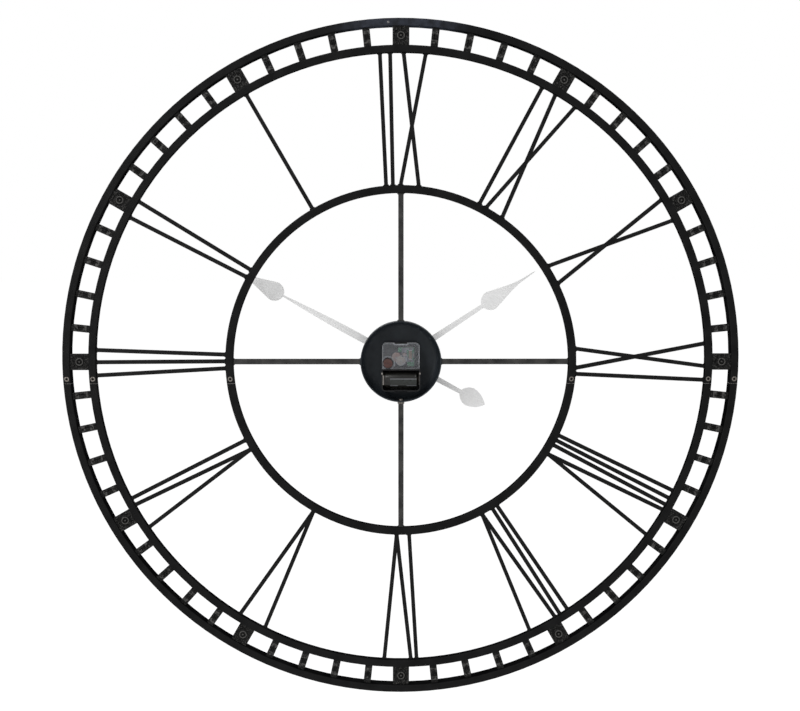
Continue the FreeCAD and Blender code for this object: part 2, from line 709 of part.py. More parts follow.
def coil_bobbin():
    z0, z1 = WINDING_Z
    sleeve = coil_section(0.5, z0, z1)
    flanges = [coil_section(1.4, z0 - FLANGE, z0), coil_section(1.4, z1, z1 + FLANGE)]
    return join([sleeve] + flanges).cut(coil_section(0.05, z0 - 5, z1 + 5))


def coil_winding():
    z0, z1 = WINDING_Z
    block = coil_section(1.2, z0, z1)
    block = block.makeFillet(0.6, [e for e in block.Edges
                                   if abs(e.tangentAt(e.FirstParameter).z) > 0.9])
    return block.cut(coil_section(0.5, z0 - 1, z1 + 1))


def coil_screws():
    screws = []
    for x, z in CORE_SCREWS:
        shank = cyl(x, z, 0.8, STATOR_FRONT, CORE_BACK)
        head = cyl(x, z, 1.3, CORE_BACK, CORE_BACK + 0.7)
        slot = box(x - 2, x + 2, CORE_BACK + 0.35, CORE_BACK + 1, z - 0.15, z + 0.15)
        screws.append(shank.fuse(head).cut(slot))
    return group(screws)


# ---------------------------------------------------------------------------
# Movement: wheels.  A tooth is a trapezium; shares are of the tooth pitch.
# ---------------------------------------------------------------------------

TOOTH_TIP = 0.9
TOOTH_ROOT = 1.25
TIP_SHARE = 0.10
ROOT_SHARE = 0.28


def gear(at, teeth, module, front, back, phase):
    """A spur gear; phase is the direction of one tooth's middle."""
    radius = teeth * module / 2
    tip = radius + TOOTH_TIP * module
    root = radius - TOOTH_ROOT * module
    outline = []
    for i in range(teeth):
        for share, r in ((-ROOT_SHARE, root), (-TIP_SHARE, tip), (TIP_SHARE, tip), (ROOT_SHARE, root)):
            outline.append(polar(r, phase + (i + share) * 360 / teeth, at))
    return prism(outline, front, back)


def meshing_phase(at, teeth, phase, other_at, other_teeth):
    """The phase that puts another gear in mesh with this one."""
    towards = math.degrees(math.atan2(other_at[1] - at[1], other_at[0] - at[0]))
    share = ((towards - phase) * teeth / 360) % 1
    other_share = (0.5 - share) % 1
    return towards + 180 - other_share * 360 / other_teeth


def spacing_module(distance, teeth_a, teeth_b):
    return 2 * distance / (teeth_a + teeth_b)


CENTRE = (0.0, 0.0)
CANNON_MODULE = spacing_module(MOTION_DISTANCE, CANNON_TEETH, MOTION_TEETH)
HOUR_MODULE = spacing_module(MOTION_DISTANCE, MOTION_PINION_TEETH, HOUR_TEETH)
THIRD_MODULE = spacing_module(THIRD_DISTANCE, SECOND_PINION_TEETH, THIRD_TEETH)
MINUTE_MODULE = spacing_module(THIRD_DISTANCE, THIRD_PINION_TEETH, MINUTE_GEAR_TEETH)
SECOND_MODULE = spacing_module(INTERMEDIATE_DISTANCE, INTERMEDIATE_PINION_TEETH, SECOND_TEETH)
ROTOR_MODULE = spacing_module(ROTOR_DISTANCE, ROTOR_TEETH, INTERMEDIATE_TEETH)

MOTION_PHASE = meshing_phase(CENTRE, CANNON_TEETH, 0, MOTION_AT, MOTION_TEETH)
KNOB_PHASE = meshing_phase(MOTION_AT, MOTION_TEETH, MOTION_PHASE, KNOB_AT, KNOB_TEETH)
HOUR_PHASE = meshing_phase(MOTION_AT, MOTION_PINION_TEETH, 0, CENTRE, HOUR_TEETH)
MINUTE_PHASE = meshing_phase(THIRD_AT, THIRD_PINION_TEETH, 0, CENTRE, MINUTE_GEAR_TEETH)
THIRD_PHASE = meshing_phase(CENTRE, SECOND_PINION_TEETH, 0, THIRD_AT, THIRD_TEETH)
SECOND_PHASE = meshing_phase(INTERMEDIATE_AT, INTERMEDIATE_PINION_TEETH, 0, CENTRE, SECOND_TEETH)
INTERMEDIATE_PHASE = meshing_phase(ROTOR_AT, ROTOR_TEETH, 0, INTERMEDIATE_AT, INTERMEDIATE_TEETH)

PIVOT_FRONT = TRAIN_PLATE_FRONT + 0.2
PIVOT_BACK = COVER_INNER - 0.35
ARBOR_BACK = COVER_INNER - 1.7

# Depths (front, back) at which the wheels and pinions run, from the dial side
HOUR_WHEEL_Y = (-29.7, -28.9)
MOTION_PINION_Y = (-29.9, -28.2)
MOTION_WHEEL_Y = (-28.2, -27.4)
CANNON_Y = (-28.5, -27.3)
KNOB_PINION_Y = (-28.4, -27.3)
KNOB_HEAD_Y = (-17.2, -10.8)
MINUTE_GEAR_Y = (-25.4, -24.8)
THIRD_PINION_Y = (-25.5, -24.0)
THIRD_WHEEL_Y = (-24.0, -23.3)
SECOND_PINION_Y = (-24.3, -22.4)
SECOND_WHEEL_Y = (-22.4, -21.7)
INTERMEDIATE_WHEEL_Y = (-24.0, -23.3)
INTERMEDIATE_PINION_Y = (-23.3, -21.5)
ROTOR_PINION_Y = (-24.3, -23.0)
MAGNET_Y = (-19.4, -15.4)
MAGNET_R = 2.4
WHEEL_HUB_R = 2.6
KNOB_SHAFT_R = 1.2
KNOB_PIVOT_R = 0.8
STUD_R = 0.7
NOSE_R = 1.35
NOSE_FRONT = -47.6
HAND_SHOULDER = -43.2


def arbor(at, front_shoulder):
    """A thin shaft with a pivot at each end."""
    pivot = cyl(*at, PIVOT_R, PIVOT_FRONT, PIVOT_BACK)
    return pivot.fuse(cyl(*at, ARBOR_R, front_shoulder, ARBOR_BACK))


def rotor():
    shaft = arbor(ROTOR_AT, -25.4)
    pinion = gear(ROTOR_AT, ROTOR_TEETH, ROTOR_MODULE, *ROTOR_PINION_Y, 0)
    magnet = cyl(*ROTOR_AT, MAGNET_R, *MAGNET_Y)
    return join([shaft, pinion, magnet])


def intermediate_wheel():
    shaft = arbor(INTERMEDIATE_AT, -25.4)
    wheel = gear(INTERMEDIATE_AT, INTERMEDIATE_TEETH, ROTOR_MODULE, *INTERMEDIATE_WHEEL_Y,
                 INTERMEDIATE_PHASE)
    pinion = gear(INTERMEDIATE_AT, INTERMEDIATE_PINION_TEETH, SECOND_MODULE, *INTERMEDIATE_PINION_Y, 0)
    return join([shaft, wheel, pinion])


def second_wheel():
    pivot = cyl(0, 0, PIVOT_R, -25.5, PIVOT_BACK)
    shaft = cyl(0, 0, 0.6, -24.3, ARBOR_BACK)
    pinion = gear(CENTRE, SECOND_PINION_TEETH, THIRD_MODULE, *SECOND_PINION_Y, 0)
    wheel = gear(CENTRE, SECOND_TEETH, SECOND_MODULE, *SECOND_WHEEL_Y, SECOND_PHASE)
    hub = cyl(0, 0, WHEEL_HUB_R, SECOND_WHEEL_Y[1], SECOND_WHEEL_Y[1] + 0.8)
    return join([pivot, shaft, pinion, wheel, hub])


def third_wheel():
    shaft = arbor(THIRD_AT, -25.5)
    pinion = gear(THIRD_AT, THIRD_PINION_TEETH, MINUTE_MODULE, *THIRD_PINION_Y, 0)
    wheel = gear(THIRD_AT, THIRD_TEETH, THIRD_MODULE, *THIRD_WHEEL_Y, THIRD_PHASE)
    hub = cyl(*THIRD_AT, 1.0, THIRD_WHEEL_Y[1], THIRD_WHEEL_Y[1] + 2.1)
    return join([shaft, pinion, wheel, hub])


def minute_gear():
    """Driven by the train; it slips on the minute arbor when the hands are set."""
    wheel = gear(CENTRE, MINUTE_GEAR_TEETH, MINUTE_MODULE, *MINUTE_GEAR_Y, MINUTE_PHASE)
    hub = cyl(0, 0, WHEEL_HUB_R, MINUTE_GEAR_Y[0] - 0.1, MINUTE_GEAR_Y[1] + 0.1)
    wheel = join([wheel, hub])
    return wheel.cut(cyl(0, 0, MINUTE_ARBOR_R + PLAY, CASE_FRONT, PARTING_Y))


def minute_arbor():
    """The minute hand's shaft with the cannon pinion, stepped for the hand."""
    shaft = cyl(0, 0, MINUTE_ARBOR_R, HAND_SHOULDER, MINUTE_GEAR_Y[1] + 0.15)
    nose = cyl(0, 0, NOSE_R, NOSE_FRONT, HAND_SHOULDER)
    pinion = gear(CENTRE, CANNON_TEETH, CANNON_MODULE, *CANNON_Y, 0)
    whole = join([shaft, nose, pinion])
    return whole.cut(cyl(0, 0, PIVOT_R + PLAY, -25.8, PARTING_Y))


def motion_wheel():
    pinion = gear(MOTION_AT, MOTION_PINION_TEETH, HOUR_MODULE, *MOTION_PINION_Y, 0)
    wheel = gear(MOTION_AT, MOTION_TEETH, CANNON_MODULE, *MOTION_WHEEL_Y, MOTION_PHASE)
    return join([pinion, wheel]).cut(cyl(*MOTION_AT, STUD_R + PLAY, CASE_FRONT, PARTING_Y))


def hour_wheel():
    wheel = gear(CENTRE, HOUR_TEETH, HOUR_MODULE, *HOUR_WHEEL_Y, HOUR_PHASE)
    sleeve = cyl(0, 0, HOUR_TUBE_R, HOUR_HAND_BACK - 1.6, HOUR_WHEEL_Y[1])
    return join([wheel, sleeve]).cut(cyl(0, 0, MINUTE_ARBOR_R + PLAY, NOSE_FRONT, PARTING_Y))


def setting_knob():
    pivot = cyl(*KNOB_AT, KNOB_PIVOT_R, CASE_INNER - 0.4, KNOB_PINION_Y[0] - 0.2)
    shaft = cyl(*KNOB_AT, KNOB_SHAFT_R, KNOB_PINION_Y[0] - 0.2, KNOB_HEAD_Y[0] + 1)
    pinion = gear(KNOB_AT, KNOB_TEETH, CANNON_MODULE, *KNOB_PINION_Y, KNOB_PHASE)
    head = cyl(*KNOB_AT, KNOB_R, *KNOB_HEAD_Y)
    knob = join([pivot, shaft, pinion, head])
    rib_gaps = [polar(KNOB_R + 0.2, 360 / KNOB_RIBS * i, KNOB_AT) for i in range(KNOB_RIBS)]
    grooves = [cyl(*at, 0.6, KNOB_HEAD_Y[0] - 1, KNOB_HEAD_Y[1] + 1) for at in rib_gaps]
    finger_slot = box(KNOB_AT[0] - 5, KNOB_AT[0] + 5, KNOB_HEAD_Y[1] - 1.5, KNOB_HEAD_Y[1] + 1,
                      KNOB_AT[1] - 0.7, KNOB_AT[1] + 0.7)
    return knob.cut(grooves[0].multiFuse(grooves[1:])).cut(finger_slot)


# ---------------------------------------------------------------------------
# Hands.  Outlines are drawn pointing at 12 and then turned.
# ---------------------------------------------------------------------------

def mirrored_face(edges_of, y):
    """A face from the edges of its right side and their mirror image."""
    right = edges_of(1, y)
    left = edges_of(-1, y)
    return Part.Face(Part.Wire(Part.__sortEdges__(right + left)))


def arc(a, b, c):
    return Part.Arc(a, b, c).toShape()


def line(a, b):
    return Part.LineSegment(a, b).toShape()


def flank(points):
    curve = Part.BSplineCurve()
    curve.interpolate(points)
    return curve.toShape()


def spade_edges(side, y, base, neck_half):
    """A spade from its round shoulders at base to its slender point."""
    def p(s, half):
        return V(side * half, y, base + s)
    shoulder = arc(p(0, neck_half), p(4.6, 10.2), p(15.5, SPADE_HALF))
    long_flank = flank([p(15.5, SPADE_HALF), p(32, 10.0), p(48, 5.6), p(64, 2.5), p(80, 1.3),
                        p(SPADE_LENGTH, 0.5)])
    tip = line(p(SPADE_LENGTH, 0.5), p(SPADE_LENGTH, 0))
    return [shoulder, long_flank, tip]


def hour_hand_edges(side, y):
    def p(r, half):
        return V(side * half, y, r)
    shaft_start = 5.6
    shaft = line(p(math.sqrt(HAND_EYE_R ** 2 - shaft_start ** 2), shaft_start), p(HOUR_SPADE_AT, 3.2))
    eye_end = p(math.sqrt(HAND_EYE_R ** 2 - shaft_start ** 2), shaft_start)
    eye = arc(p(-HAND_EYE_R, 0), p(0, HAND_EYE_R), eye_end)
    return [eye, shaft] + spade_edges(side, y, HOUR_SPADE_AT, 3.2)


def minute_hand_edges(side, y):
    def p(r, half):
        return V(side * half, y, r)
    eye_z = 6.0
    eye_x = math.sqrt(HAND_EYE_R ** 2 - eye_z ** 2)
    eye = arc(p(-eye_z, eye_x), p(0, HAND_EYE_R), p(eye_z, eye_x))
    shaft = flank([p(eye_z, eye_x), p(60, 5.4), p(110, 5.2), p(151, 3.9), p(MINUTE_SPADE_AT, 1.3)])
    tail = line(p(-eye_z, eye_x), p(-TAIL_LEAF_AT, 3.3))
    shoulder = arc(p(-TAIL_LEAF_AT, 3.3), p(-TAIL_LEAF_AT - 5, 10.0), p(-TAIL_LEAF_AT - 15, SPADE_HALF))
    leaf = arc(p(-TAIL_LEAF_AT - 15, SPADE_HALF), p(-TAIL_LEAF_AT - 31, 9.6),
               p(-TAIL_LEAF_AT - TAIL_LEAF_LENGTH, 0))
    return [eye, shaft, tail, shoulder, leaf] + spade_edges(side, y, MINUTE_SPADE_AT, 1.3)


def hour_hand():
    front = HOUR_HAND_BACK - HOUR_HAND_THICK
    face = mirrored_face(hour_hand_edges, front)
    hand = face.extrude(V(0, HOUR_HAND_THICK, 0))
    hand = hand.cut(cyl(0, 0, HOUR_COLLET_R + HAND_PLAY, -60, 0))
    return turn(hand, HOUR_HAND_ANGLE)


def minute_hand():
    """Folded along its middle, so that the ridge stands towards the front."""
    face = mirrored_face(minute_hand_edges, -60)
    blank = face.extrude(V(0, 40, 0))
    half = SPADE_HALF + 2
    rise = half * CREASE_SLOPE
    back = MINUTE_HAND_BACK
    front = back - MINUTE_HAND_THICK
    section = [(-half, front + rise), (0, front), (half, front + rise),
               (half, back + rise), (0, back), (-half, back + rise)]
    corners = [V(x, y, -TAIL_LEAF_AT - TAIL_LEAF_LENGTH - 5) for x, y in section]
    length = TAIL_LEAF_AT + TAIL_LEAF_LENGTH + MINUTE_SPADE_AT + SPADE_LENGTH + 10
    fold = Part.Face(Part.makePolygon(corners + corners[:1])).extrude(V(0, 0, length))
    hand = fold.common(blank).cut(cyl(0, 0, MINUTE_COLLET_R + HAND_PLAY, -60, 0))
    return turn(hand, MINUTE_HAND_ANGLE)


def hour_hand_collet():
    """A flanged sleeve that the hour hand is riveted to."""
    sleeve = cyl(0, 0, HOUR_COLLET_R, HOUR_COLLET_FRONT, HOUR_COLLET_BACK)
    flange = cyl(0, 0, HOUR_COLLET_FLANGE_R, HOUR_HAND_BACK, HOUR_COLLET_BACK)
    bore = cyl(0, 0, HOUR_TUBE_R + HAND_FIT, -50, -30)
    return sleeve.fuse(flange).cut(bore).removeSplitter()


def minute_hand_collet():
    """A flanged sleeve behind the folded hand."""
    sleeve = cyl(0, 0, MINUTE_COLLET_R, MINUTE_COLLET_FRONT, HAND_SHOULDER)
    flange = cyl(0, 0, MINUTE_COLLET_FLANGE_R, MINUTE_FLANGE_FRONT, HAND_SHOULDER)
    bore = cyl(0, 0, NOSE_R + HAND_FIT, -50, -40)
    return sleeve.fuse(flange).cut(bore).removeSplitter()


def hand_nut():
    """A domed cap nut that holds the minute hand."""
    base = cyl(0, 0, HAND_NUT_R, HAND_NUT_FRONT, MINUTE_COLLET_FRONT)
    dome = Part.makeSphere(HAND_NUT_R, V(0, HAND_NUT_FRONT + 1.2, 0))
    dome = dome.common(box(-5, 5, -60, HAND_NUT_FRONT, -5, 5))
    bore = cyl(0, 0, NOSE_R + HAND_FIT, HAND_NUT_FRONT, MINUTE_COLLET_FRONT + 1)
    return join([base, dome]).cut(bore)


# ---------------------------------------------------------------------------
# Every node, by name
# ---------------------------------------------------------------------------

NUMERAL_NAMES = ["i", "ii", "iii", "iv", "v", "vi", "vii", "viii", "ix", "x", "xi", "xii"]


def all_nodes():
    nodes = {}
    for name, ring in RINGS.items():
        nodes[name + "_upper"], nodes[name + "_lower"] = ring_halves(ring)
    nodes["splice_tongues"] = splice_tongues()
    nodes["splice_screws"] = splice_screws()
    nodes["hour_plates_upper"] = hour_plates([9, 10, 11, 12, 1, 2, 3])
    nodes["hour_plates_lower"] = hour_plates([4, 5, 6, 7, 8])
    nodes["minute_bars_upper"] = minute_bars(-15, 16)
    nodes["minute_bars_lower"] = minute_bars(16, 45)
    for hour, name in enumerate(NUMERAL_NAMES, start=1):
        nodes["numeral_" + name] = numeral(hour)
    nodes["spokes_upper"] = group([spoke(hour) for hour in (9, 12, 3)])
    nodes["spoke_lower"] = spoke(6)
    single = [hub_cup, hub_screw, hub_jam_nut, movement_case, movement_cover, battery,
              battery_plate, battery_spring, mounting_bushing, mounting_nut, brass_washer,
              rubber_washer, train_plate, circuit_board, quartz_crystal, stator_plate,
              coil_core, coil_bobbin, coil_winding, coil_screws, rotor, intermediate_wheel,
              second_wheel, third_wheel, minute_gear, minute_arbor, motion_wheel, hour_wheel,
              setting_knob, hour_hand, minute_hand, hour_hand_collet, minute_hand_collet,
              hand_nut]
    for make in single:
        nodes[make.__name__] = make()
    return nodes


def main():
    os.makedirs("parts", exist_ok=True)
    nodes = all_nodes()
    for name, shape in nodes.items():
        shape.exportStep("parts/" + name + ".step")
        print("%-22s solids %2d  volume %10.1f  valid %s"
              % (name, len(shape.Solids), shape.Volume, shape.isValid()))
    print(len(nodes), "nodes")


main()
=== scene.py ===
import bmesh
import bpy
import math
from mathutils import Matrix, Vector, noise

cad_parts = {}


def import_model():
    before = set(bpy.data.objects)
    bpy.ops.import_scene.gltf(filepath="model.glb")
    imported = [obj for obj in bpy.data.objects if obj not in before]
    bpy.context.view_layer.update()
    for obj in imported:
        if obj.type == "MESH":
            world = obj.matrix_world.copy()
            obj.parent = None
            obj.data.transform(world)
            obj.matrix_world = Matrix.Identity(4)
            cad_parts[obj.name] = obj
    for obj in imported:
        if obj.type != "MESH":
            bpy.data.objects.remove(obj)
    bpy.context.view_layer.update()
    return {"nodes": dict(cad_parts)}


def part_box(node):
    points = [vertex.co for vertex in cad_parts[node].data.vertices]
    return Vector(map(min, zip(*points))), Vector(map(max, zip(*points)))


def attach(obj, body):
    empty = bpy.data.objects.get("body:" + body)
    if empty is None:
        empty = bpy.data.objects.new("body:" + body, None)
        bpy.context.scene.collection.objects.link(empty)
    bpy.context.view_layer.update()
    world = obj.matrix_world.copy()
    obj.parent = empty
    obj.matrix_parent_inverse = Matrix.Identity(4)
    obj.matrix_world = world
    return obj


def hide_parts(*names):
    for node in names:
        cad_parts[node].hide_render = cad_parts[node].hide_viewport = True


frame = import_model()
nodes = frame["nodes"]

MM = 0.001

# Where the CAD model puts things, in millimetres in the row's frame: the wall is
# y = 0, the dial faces -Y and +Z is 12 o'clock.
OUTER_RING_OUTSIDE = 500.0
OUTER_RING_INSIDE = 489.0
CHAPTER_RING_OUTSIDE = 461.8
CHAPTER_RING_INSIDE = 450.8
INNER_RING_OUTSIDE = 259.7
INNER_RING_INSIDE = 248.1
PLATE_CENTRE = (OUTER_RING_INSIDE + CHAPTER_RING_OUTSIDE) / 2
NUMERAL_BACK = -4.0
NUMERAL_FRONT = -9.8
CUP_R = 60.0
SEAM_Z = -32.2
SPLICE_DROP = 25.5  # how far the splice screws sit below the dial's centre
RING_MIDDLES = ((OUTER_RING_OUTSIDE + OUTER_RING_INSIDE) / 2,
                (CHAPTER_RING_OUTSIDE + CHAPTER_RING_INSIDE) / 2,
                (INNER_RING_OUTSIDE + INNER_RING_INSIDE) / 2)
CELL_Y = -17.4
CELL_Z = -28.0
HOUR_HAND_ANGLE = -56.6  # clock angles in degrees
MINUTE_HAND_ANGLE = 61.5

NUMERALS = ["i", "ii", "iii", "iv", "v", "vi", "vii", "viii", "ix", "x", "xi", "xii"]


# ---------------------------------------------------------------------------
# Materials
# ---------------------------------------------------------------------------

class Paint:
    """A Principled material and short calls for the procedural nodes that feed it."""

    def __init__(self, name, metallic=0.0, **constants):
        self.material = bpy.data.materials.new(name)
        self.material.use_nodes = True
        self.tree = self.material.node_tree
        self.shader = self.tree.nodes["Principled BSDF"]
        self.place = self.add("ShaderNodeTexCoord").outputs["Object"]
        self.shader.inputs["Metallic"].default_value = metallic
        for key, value in constants.items():
            self.shader.inputs[key.replace("_", " ")].default_value = value

    def add(self, kind, settings=None, **values):
        """A node; its settings are attributes, its values go to inputs numbered i0, i1 ..."""
        node = self.tree.nodes.new(kind)
        for key, value in (settings or {}).items():
            setattr(node, key, value)
        for key, value in values.items():
            socket = node.inputs[int(key[1:])]
            if isinstance(value, bpy.types.NodeSocket):
                self.tree.links.new(value, socket)
            else:
                socket.default_value = value
        return node

    def grain(self, size_mm, detail=3.0, stretch=None, turn=0.0):
        """Noise with features of about size_mm, stretched along an axis if asked."""
        place = self.place
        if stretch:
            spin = self.add("ShaderNodeMapping", {"vector_type": "POINT"}, i0=place, i2=(0, turn, 0))
            place = self.add("ShaderNodeMapping", {"vector_type": "POINT"},
                             i0=spin.outputs[0], i3=stretch).outputs[0]
        scale = 1.0 / (size_mm * MM)
        return self.add("ShaderNodeTexNoise", None, i0=place, i2=scale, i3=detail).outputs[0]

    def spread(self, value, low, high, to_low=0.0, to_high=1.0):
        """Map low..high to to_low..to_high, held at both ends."""
        return self.add("ShaderNodeMapRange", None, i0=value, i1=low, i2=high,
                        i3=to_low, i4=to_high).outputs[0]

    def math(self, operation, a, b=0.0, c=0.0):
        return self.add("ShaderNodeMath", {"operation": operation}, i0=a, i1=b, i2=c).outputs[0]

    def hypot(self, a, b):
        squares = self.math("ADD", self.math("MULTIPLY", a, a), self.math("MULTIPLY", b, b))
        return self.math("SQRT", squares)

    def blend(self, share, a, b):
        """A colour between a and b."""
        colours = [c if isinstance(c, bpy.types.NodeSocket) else (*c, 1.0) for c in (a, b)]
        return self.add("ShaderNodeMix", {"data_type": "RGBA"}, i0=share,
                        i6=colours[0], i7=colours[1]).outputs[2]

    def coordinates(self):
        """x, y and z in metres, in the frame that the CAD model uses."""
        return self.add("ShaderNodeSeparateXYZ", None, i0=self.place).outputs

    def edges(self, radius_mm):
        """1 on sharp edges and 0 on open surfaces."""
        rounded = self.add("ShaderNodeBevel", {"samples": 4}, i0=radius_mm * MM).outputs[0]
        plain = self.add("ShaderNodeNewGeometry").outputs["Normal"]
        dot = self.add("ShaderNodeVectorMath", {"operation": "DOT_PRODUCT"}, i0=rounded, i1=plain)
        return self.spread(dot.outputs["Value"], 0.99, 0.86)

    def colour(self, value):
        self.tree.links.new(value, self.shader.inputs["Base Color"])

    def roughness(self, value):
        self.tree.links.new(value, self.shader.inputs["Roughness"])

    def sheen(self, level):
        """Gloss on the faces that look forwards or back; the side walls stay dull."""
        facing = self.add("ShaderNodeSeparateXYZ", None,
                          i0=self.add("ShaderNodeNewGeometry").outputs["Normal"]).outputs[1]
        gloss = self.spread(self.math("ABSOLUTE", facing), 0.35, 0.95, 0.0, level)
        self.tree.links.new(gloss, self.shader.inputs["Specular IOR Level"])

    def bump(self, height, depth_mm, under=None):
        """Relief from a height; under is an earlier bump that it adds to."""
        node = self.add("ShaderNodeBump", None, i0=1.0, i1=depth_mm * MM)
        self.tree.links.new(height, node.inputs["Height"])
        if under is not None:
            self.tree.links.new(under, node.inputs["Normal"])
        self.tree.links.new(node.outputs[0], self.shader.inputs["Normal"])
        return node.outputs[0]


def mottled(name, low, high, rough, blotch, grain, depth, metallic=0.0, worn=None, edge=0.5,
            sheen=None, **constants):
    """A surface whose colour and roughness drift, with a fine grain and worn edges."""
    paint = Paint(name, metallic, **constants)
    drift = paint.grain(blotch, 4.0)
    fine = paint.grain(grain, 3.0)
    colour = paint.blend(paint.spread(drift, 0.35, 0.65), low, high)
    if worn:
        rubbed = paint.math("MULTIPLY", paint.edges(edge), paint.spread(drift, 0.35, 0.7, 0.25, 1.0))
        colour = paint.blend(rubbed, colour, worn)
    paint.colour(colour)
    paint.roughness(paint.spread(paint.grain(blotch * 0.4), 0.3, 0.7, rough[0], rough[1]))
    paint.bump(fine, depth)
    if sheen is not None:
        paint.sheen(sheen)
    return paint


GREY_MARK_X = 18.5
GREY_MARK_Z = 493.8


def ring_paint():
    """Satin black on the rings: a painted bluish reflection at the top, a small light-grey mark beside it,
    chips at the seams.
    """
    paint = Paint("ring_paint")
    drift = paint.grain(26.0, 5.0)
    colour = paint.blend(paint.spread(drift, 0.35, 0.65),
                         (0.0020, 0.0020, 0.0022), (0.0060, 0.0060, 0.0062))
    rubbed = paint.math("MULTIPLY", paint.edges(0.8), paint.spread(drift, 0.4, 0.7, 0.1, 0.8))
    colour = paint.blend(rubbed, colour, (0.035, 0.035, 0.036))
    x, _, z = paint.coordinates()
    # Painted reflection: a lighter, bluish area on the top of the outer ring stands in for the room's light
    # reflected there.
    near_top = paint.spread(paint.math("ABSOLUTE", x), 0.105, 0.055)
    high_up = paint.spread(z, 0.478, 0.484)
    painted_reflection = paint.math("MULTIPLY", near_top, high_up)
    painted_reflection = paint.math("MULTIPLY", painted_reflection, paint.spread(paint.grain(14.0, 5.0), 0.38, 0.62, 0.35, 1.0))
    colour = paint.blend(painted_reflection, colour, (0.030, 0.034, 0.046))
    chipped = paint.math("COMPARE", z, SEAM_Z * MM, 0.35 * MM)
    chipped = paint.math("MULTIPLY", chipped, paint.spread(paint.grain(2.2), 0.42, 0.55, 0.15, 1.0))
    # A small light-grey mark on the top of the outer ring, beside the painted reflection.
    grey_mark = paint.math("MULTIPLY", paint.math("COMPARE", x, GREY_MARK_X * MM, 1.6 * MM),
                       paint.math("COMPARE", z, GREY_MARK_Z * MM, 1.4 * MM))
    grey_mark = paint.math("MULTIPLY", grey_mark, paint.spread(paint.grain(1.4), 0.46, 0.52))
    paint.colour(paint.blend(paint.math("MAXIMUM", chipped, grey_mark), colour, (0.24, 0.235, 0.23)))
    paint.roughness(paint.spread(paint.grain(9.0), 0.3, 0.7, 0.36, 0.52))
    paint.bump(paint.grain(1.1, 3.0), 0.035)
    paint.sheen(0.13)
    return paint


def screw_paint():
    """Dull zinc on the splice screws, with painted shade in the cross recess and a painted shadow round the
    head.
    """
    paint = Paint("screw_zinc", 0.85)
    x, _, z = paint.coordinates()
    radius = paint.hypot(x, z)
    offsets = [paint.math("ABSOLUTE", paint.math("SUBTRACT", radius, middle * MM))
               for middle in RING_MIDDLES]
    nearest = paint.math("MINIMUM", paint.math("MINIMUM", offsets[0], offsets[1]), offsets[2])
    below = paint.math("ADD", z, SPLICE_DROP * MM)
    rho = paint.hypot(nearest, below)
    # Painted shade: the cross recess and the gap round the head are coloured near-black where shade falls.
    recess = paint.spread(rho, 2.3 * MM, 1.6 * MM)
    head_gap_shadow = paint.spread(rho, 3.2 * MM, 3.7 * MM)
    painted_shade = paint.math("MAXIMUM", recess, head_gap_shadow)
    metal = paint.blend(paint.spread(paint.grain(1.2), 0.35, 0.65),
                        (0.12, 0.105, 0.092), (0.36, 0.33, 0.30))
    paint.colour(paint.blend(painted_shade, metal, (0.006, 0.006, 0.006)))
    paint.roughness(paint.spread(paint.grain(0.8), 0.3, 0.7, 0.28, 0.46))
    paint.bump(paint.grain(0.5), 0.02)
    return paint


def cup_paint():
    """Satin black over a drawn cup, with faint rings left by the drawing. Its base is a lighter, bluer copy
    of the frame's black: painted light, the pale room reflected in the bowl.
    """
    paint = Paint("cup_paint", Specular_IOR_Level=0.22)
    drift = paint.grain(22.0, 4.0)
    # Painted reflection: the blue-grey base, lighter than the rings' black, stands in for the pale light that
    # the bowl reflects.
    colour = paint.blend(paint.spread(drift, 0.3, 0.7),
                         (0.016, 0.0198, 0.0242), (0.029, 0.0350, 0.0415))
    rubbed = paint.math("MULTIPLY", paint.edges(0.7), paint.spread(drift, 0.4, 0.7, 0.1, 0.7))
    paint.colour(paint.blend(rubbed, colour, (0.030, 0.031, 0.033)))
    paint.roughness(paint.spread(paint.grain(7.0), 0.3, 0.7, 0.38, 0.56))
    x, _, z = paint.coordinates()
    radius = paint.hypot(x, z)
    waves = paint.math("SINE", paint.math("MULTIPLY", radius, 2 * math.pi / (1.7 * MM)))
    drawn = paint.bump(waves, 0.004)
    paint.bump(paint.grain(0.9, 3.0), 0.03, under=drawn)
    return paint


def cast_paint(name):
    """Black paint on rough castings, with the parts its two users build their painted highlights from."""
    paint = Paint(name)
    x, _, z = paint.coordinates()
    radius = paint.hypot(x, z)
    radial = paint.math("SUBTRACT", radius, PLATE_CENTRE * MM)
    colour = paint.blend(paint.spread(paint.grain(4.0, 4.0), 0.35, 0.65), (0.0012, 0.0012, 0.0012),
                         (0.0075, 0.0074, 0.0072))
    flecks = paint.spread(paint.grain(1.5, 4.0), 0.54, 0.68)
    paint.roughness(paint.spread(paint.grain(1.6), 0.3, 0.7, 0.30, 0.50))
    paint.bump(paint.grain(0.8, 3.0), 0.10)
    paint.sheen(0.13)
    return paint, (x, z, radius, radial), colour, flecks


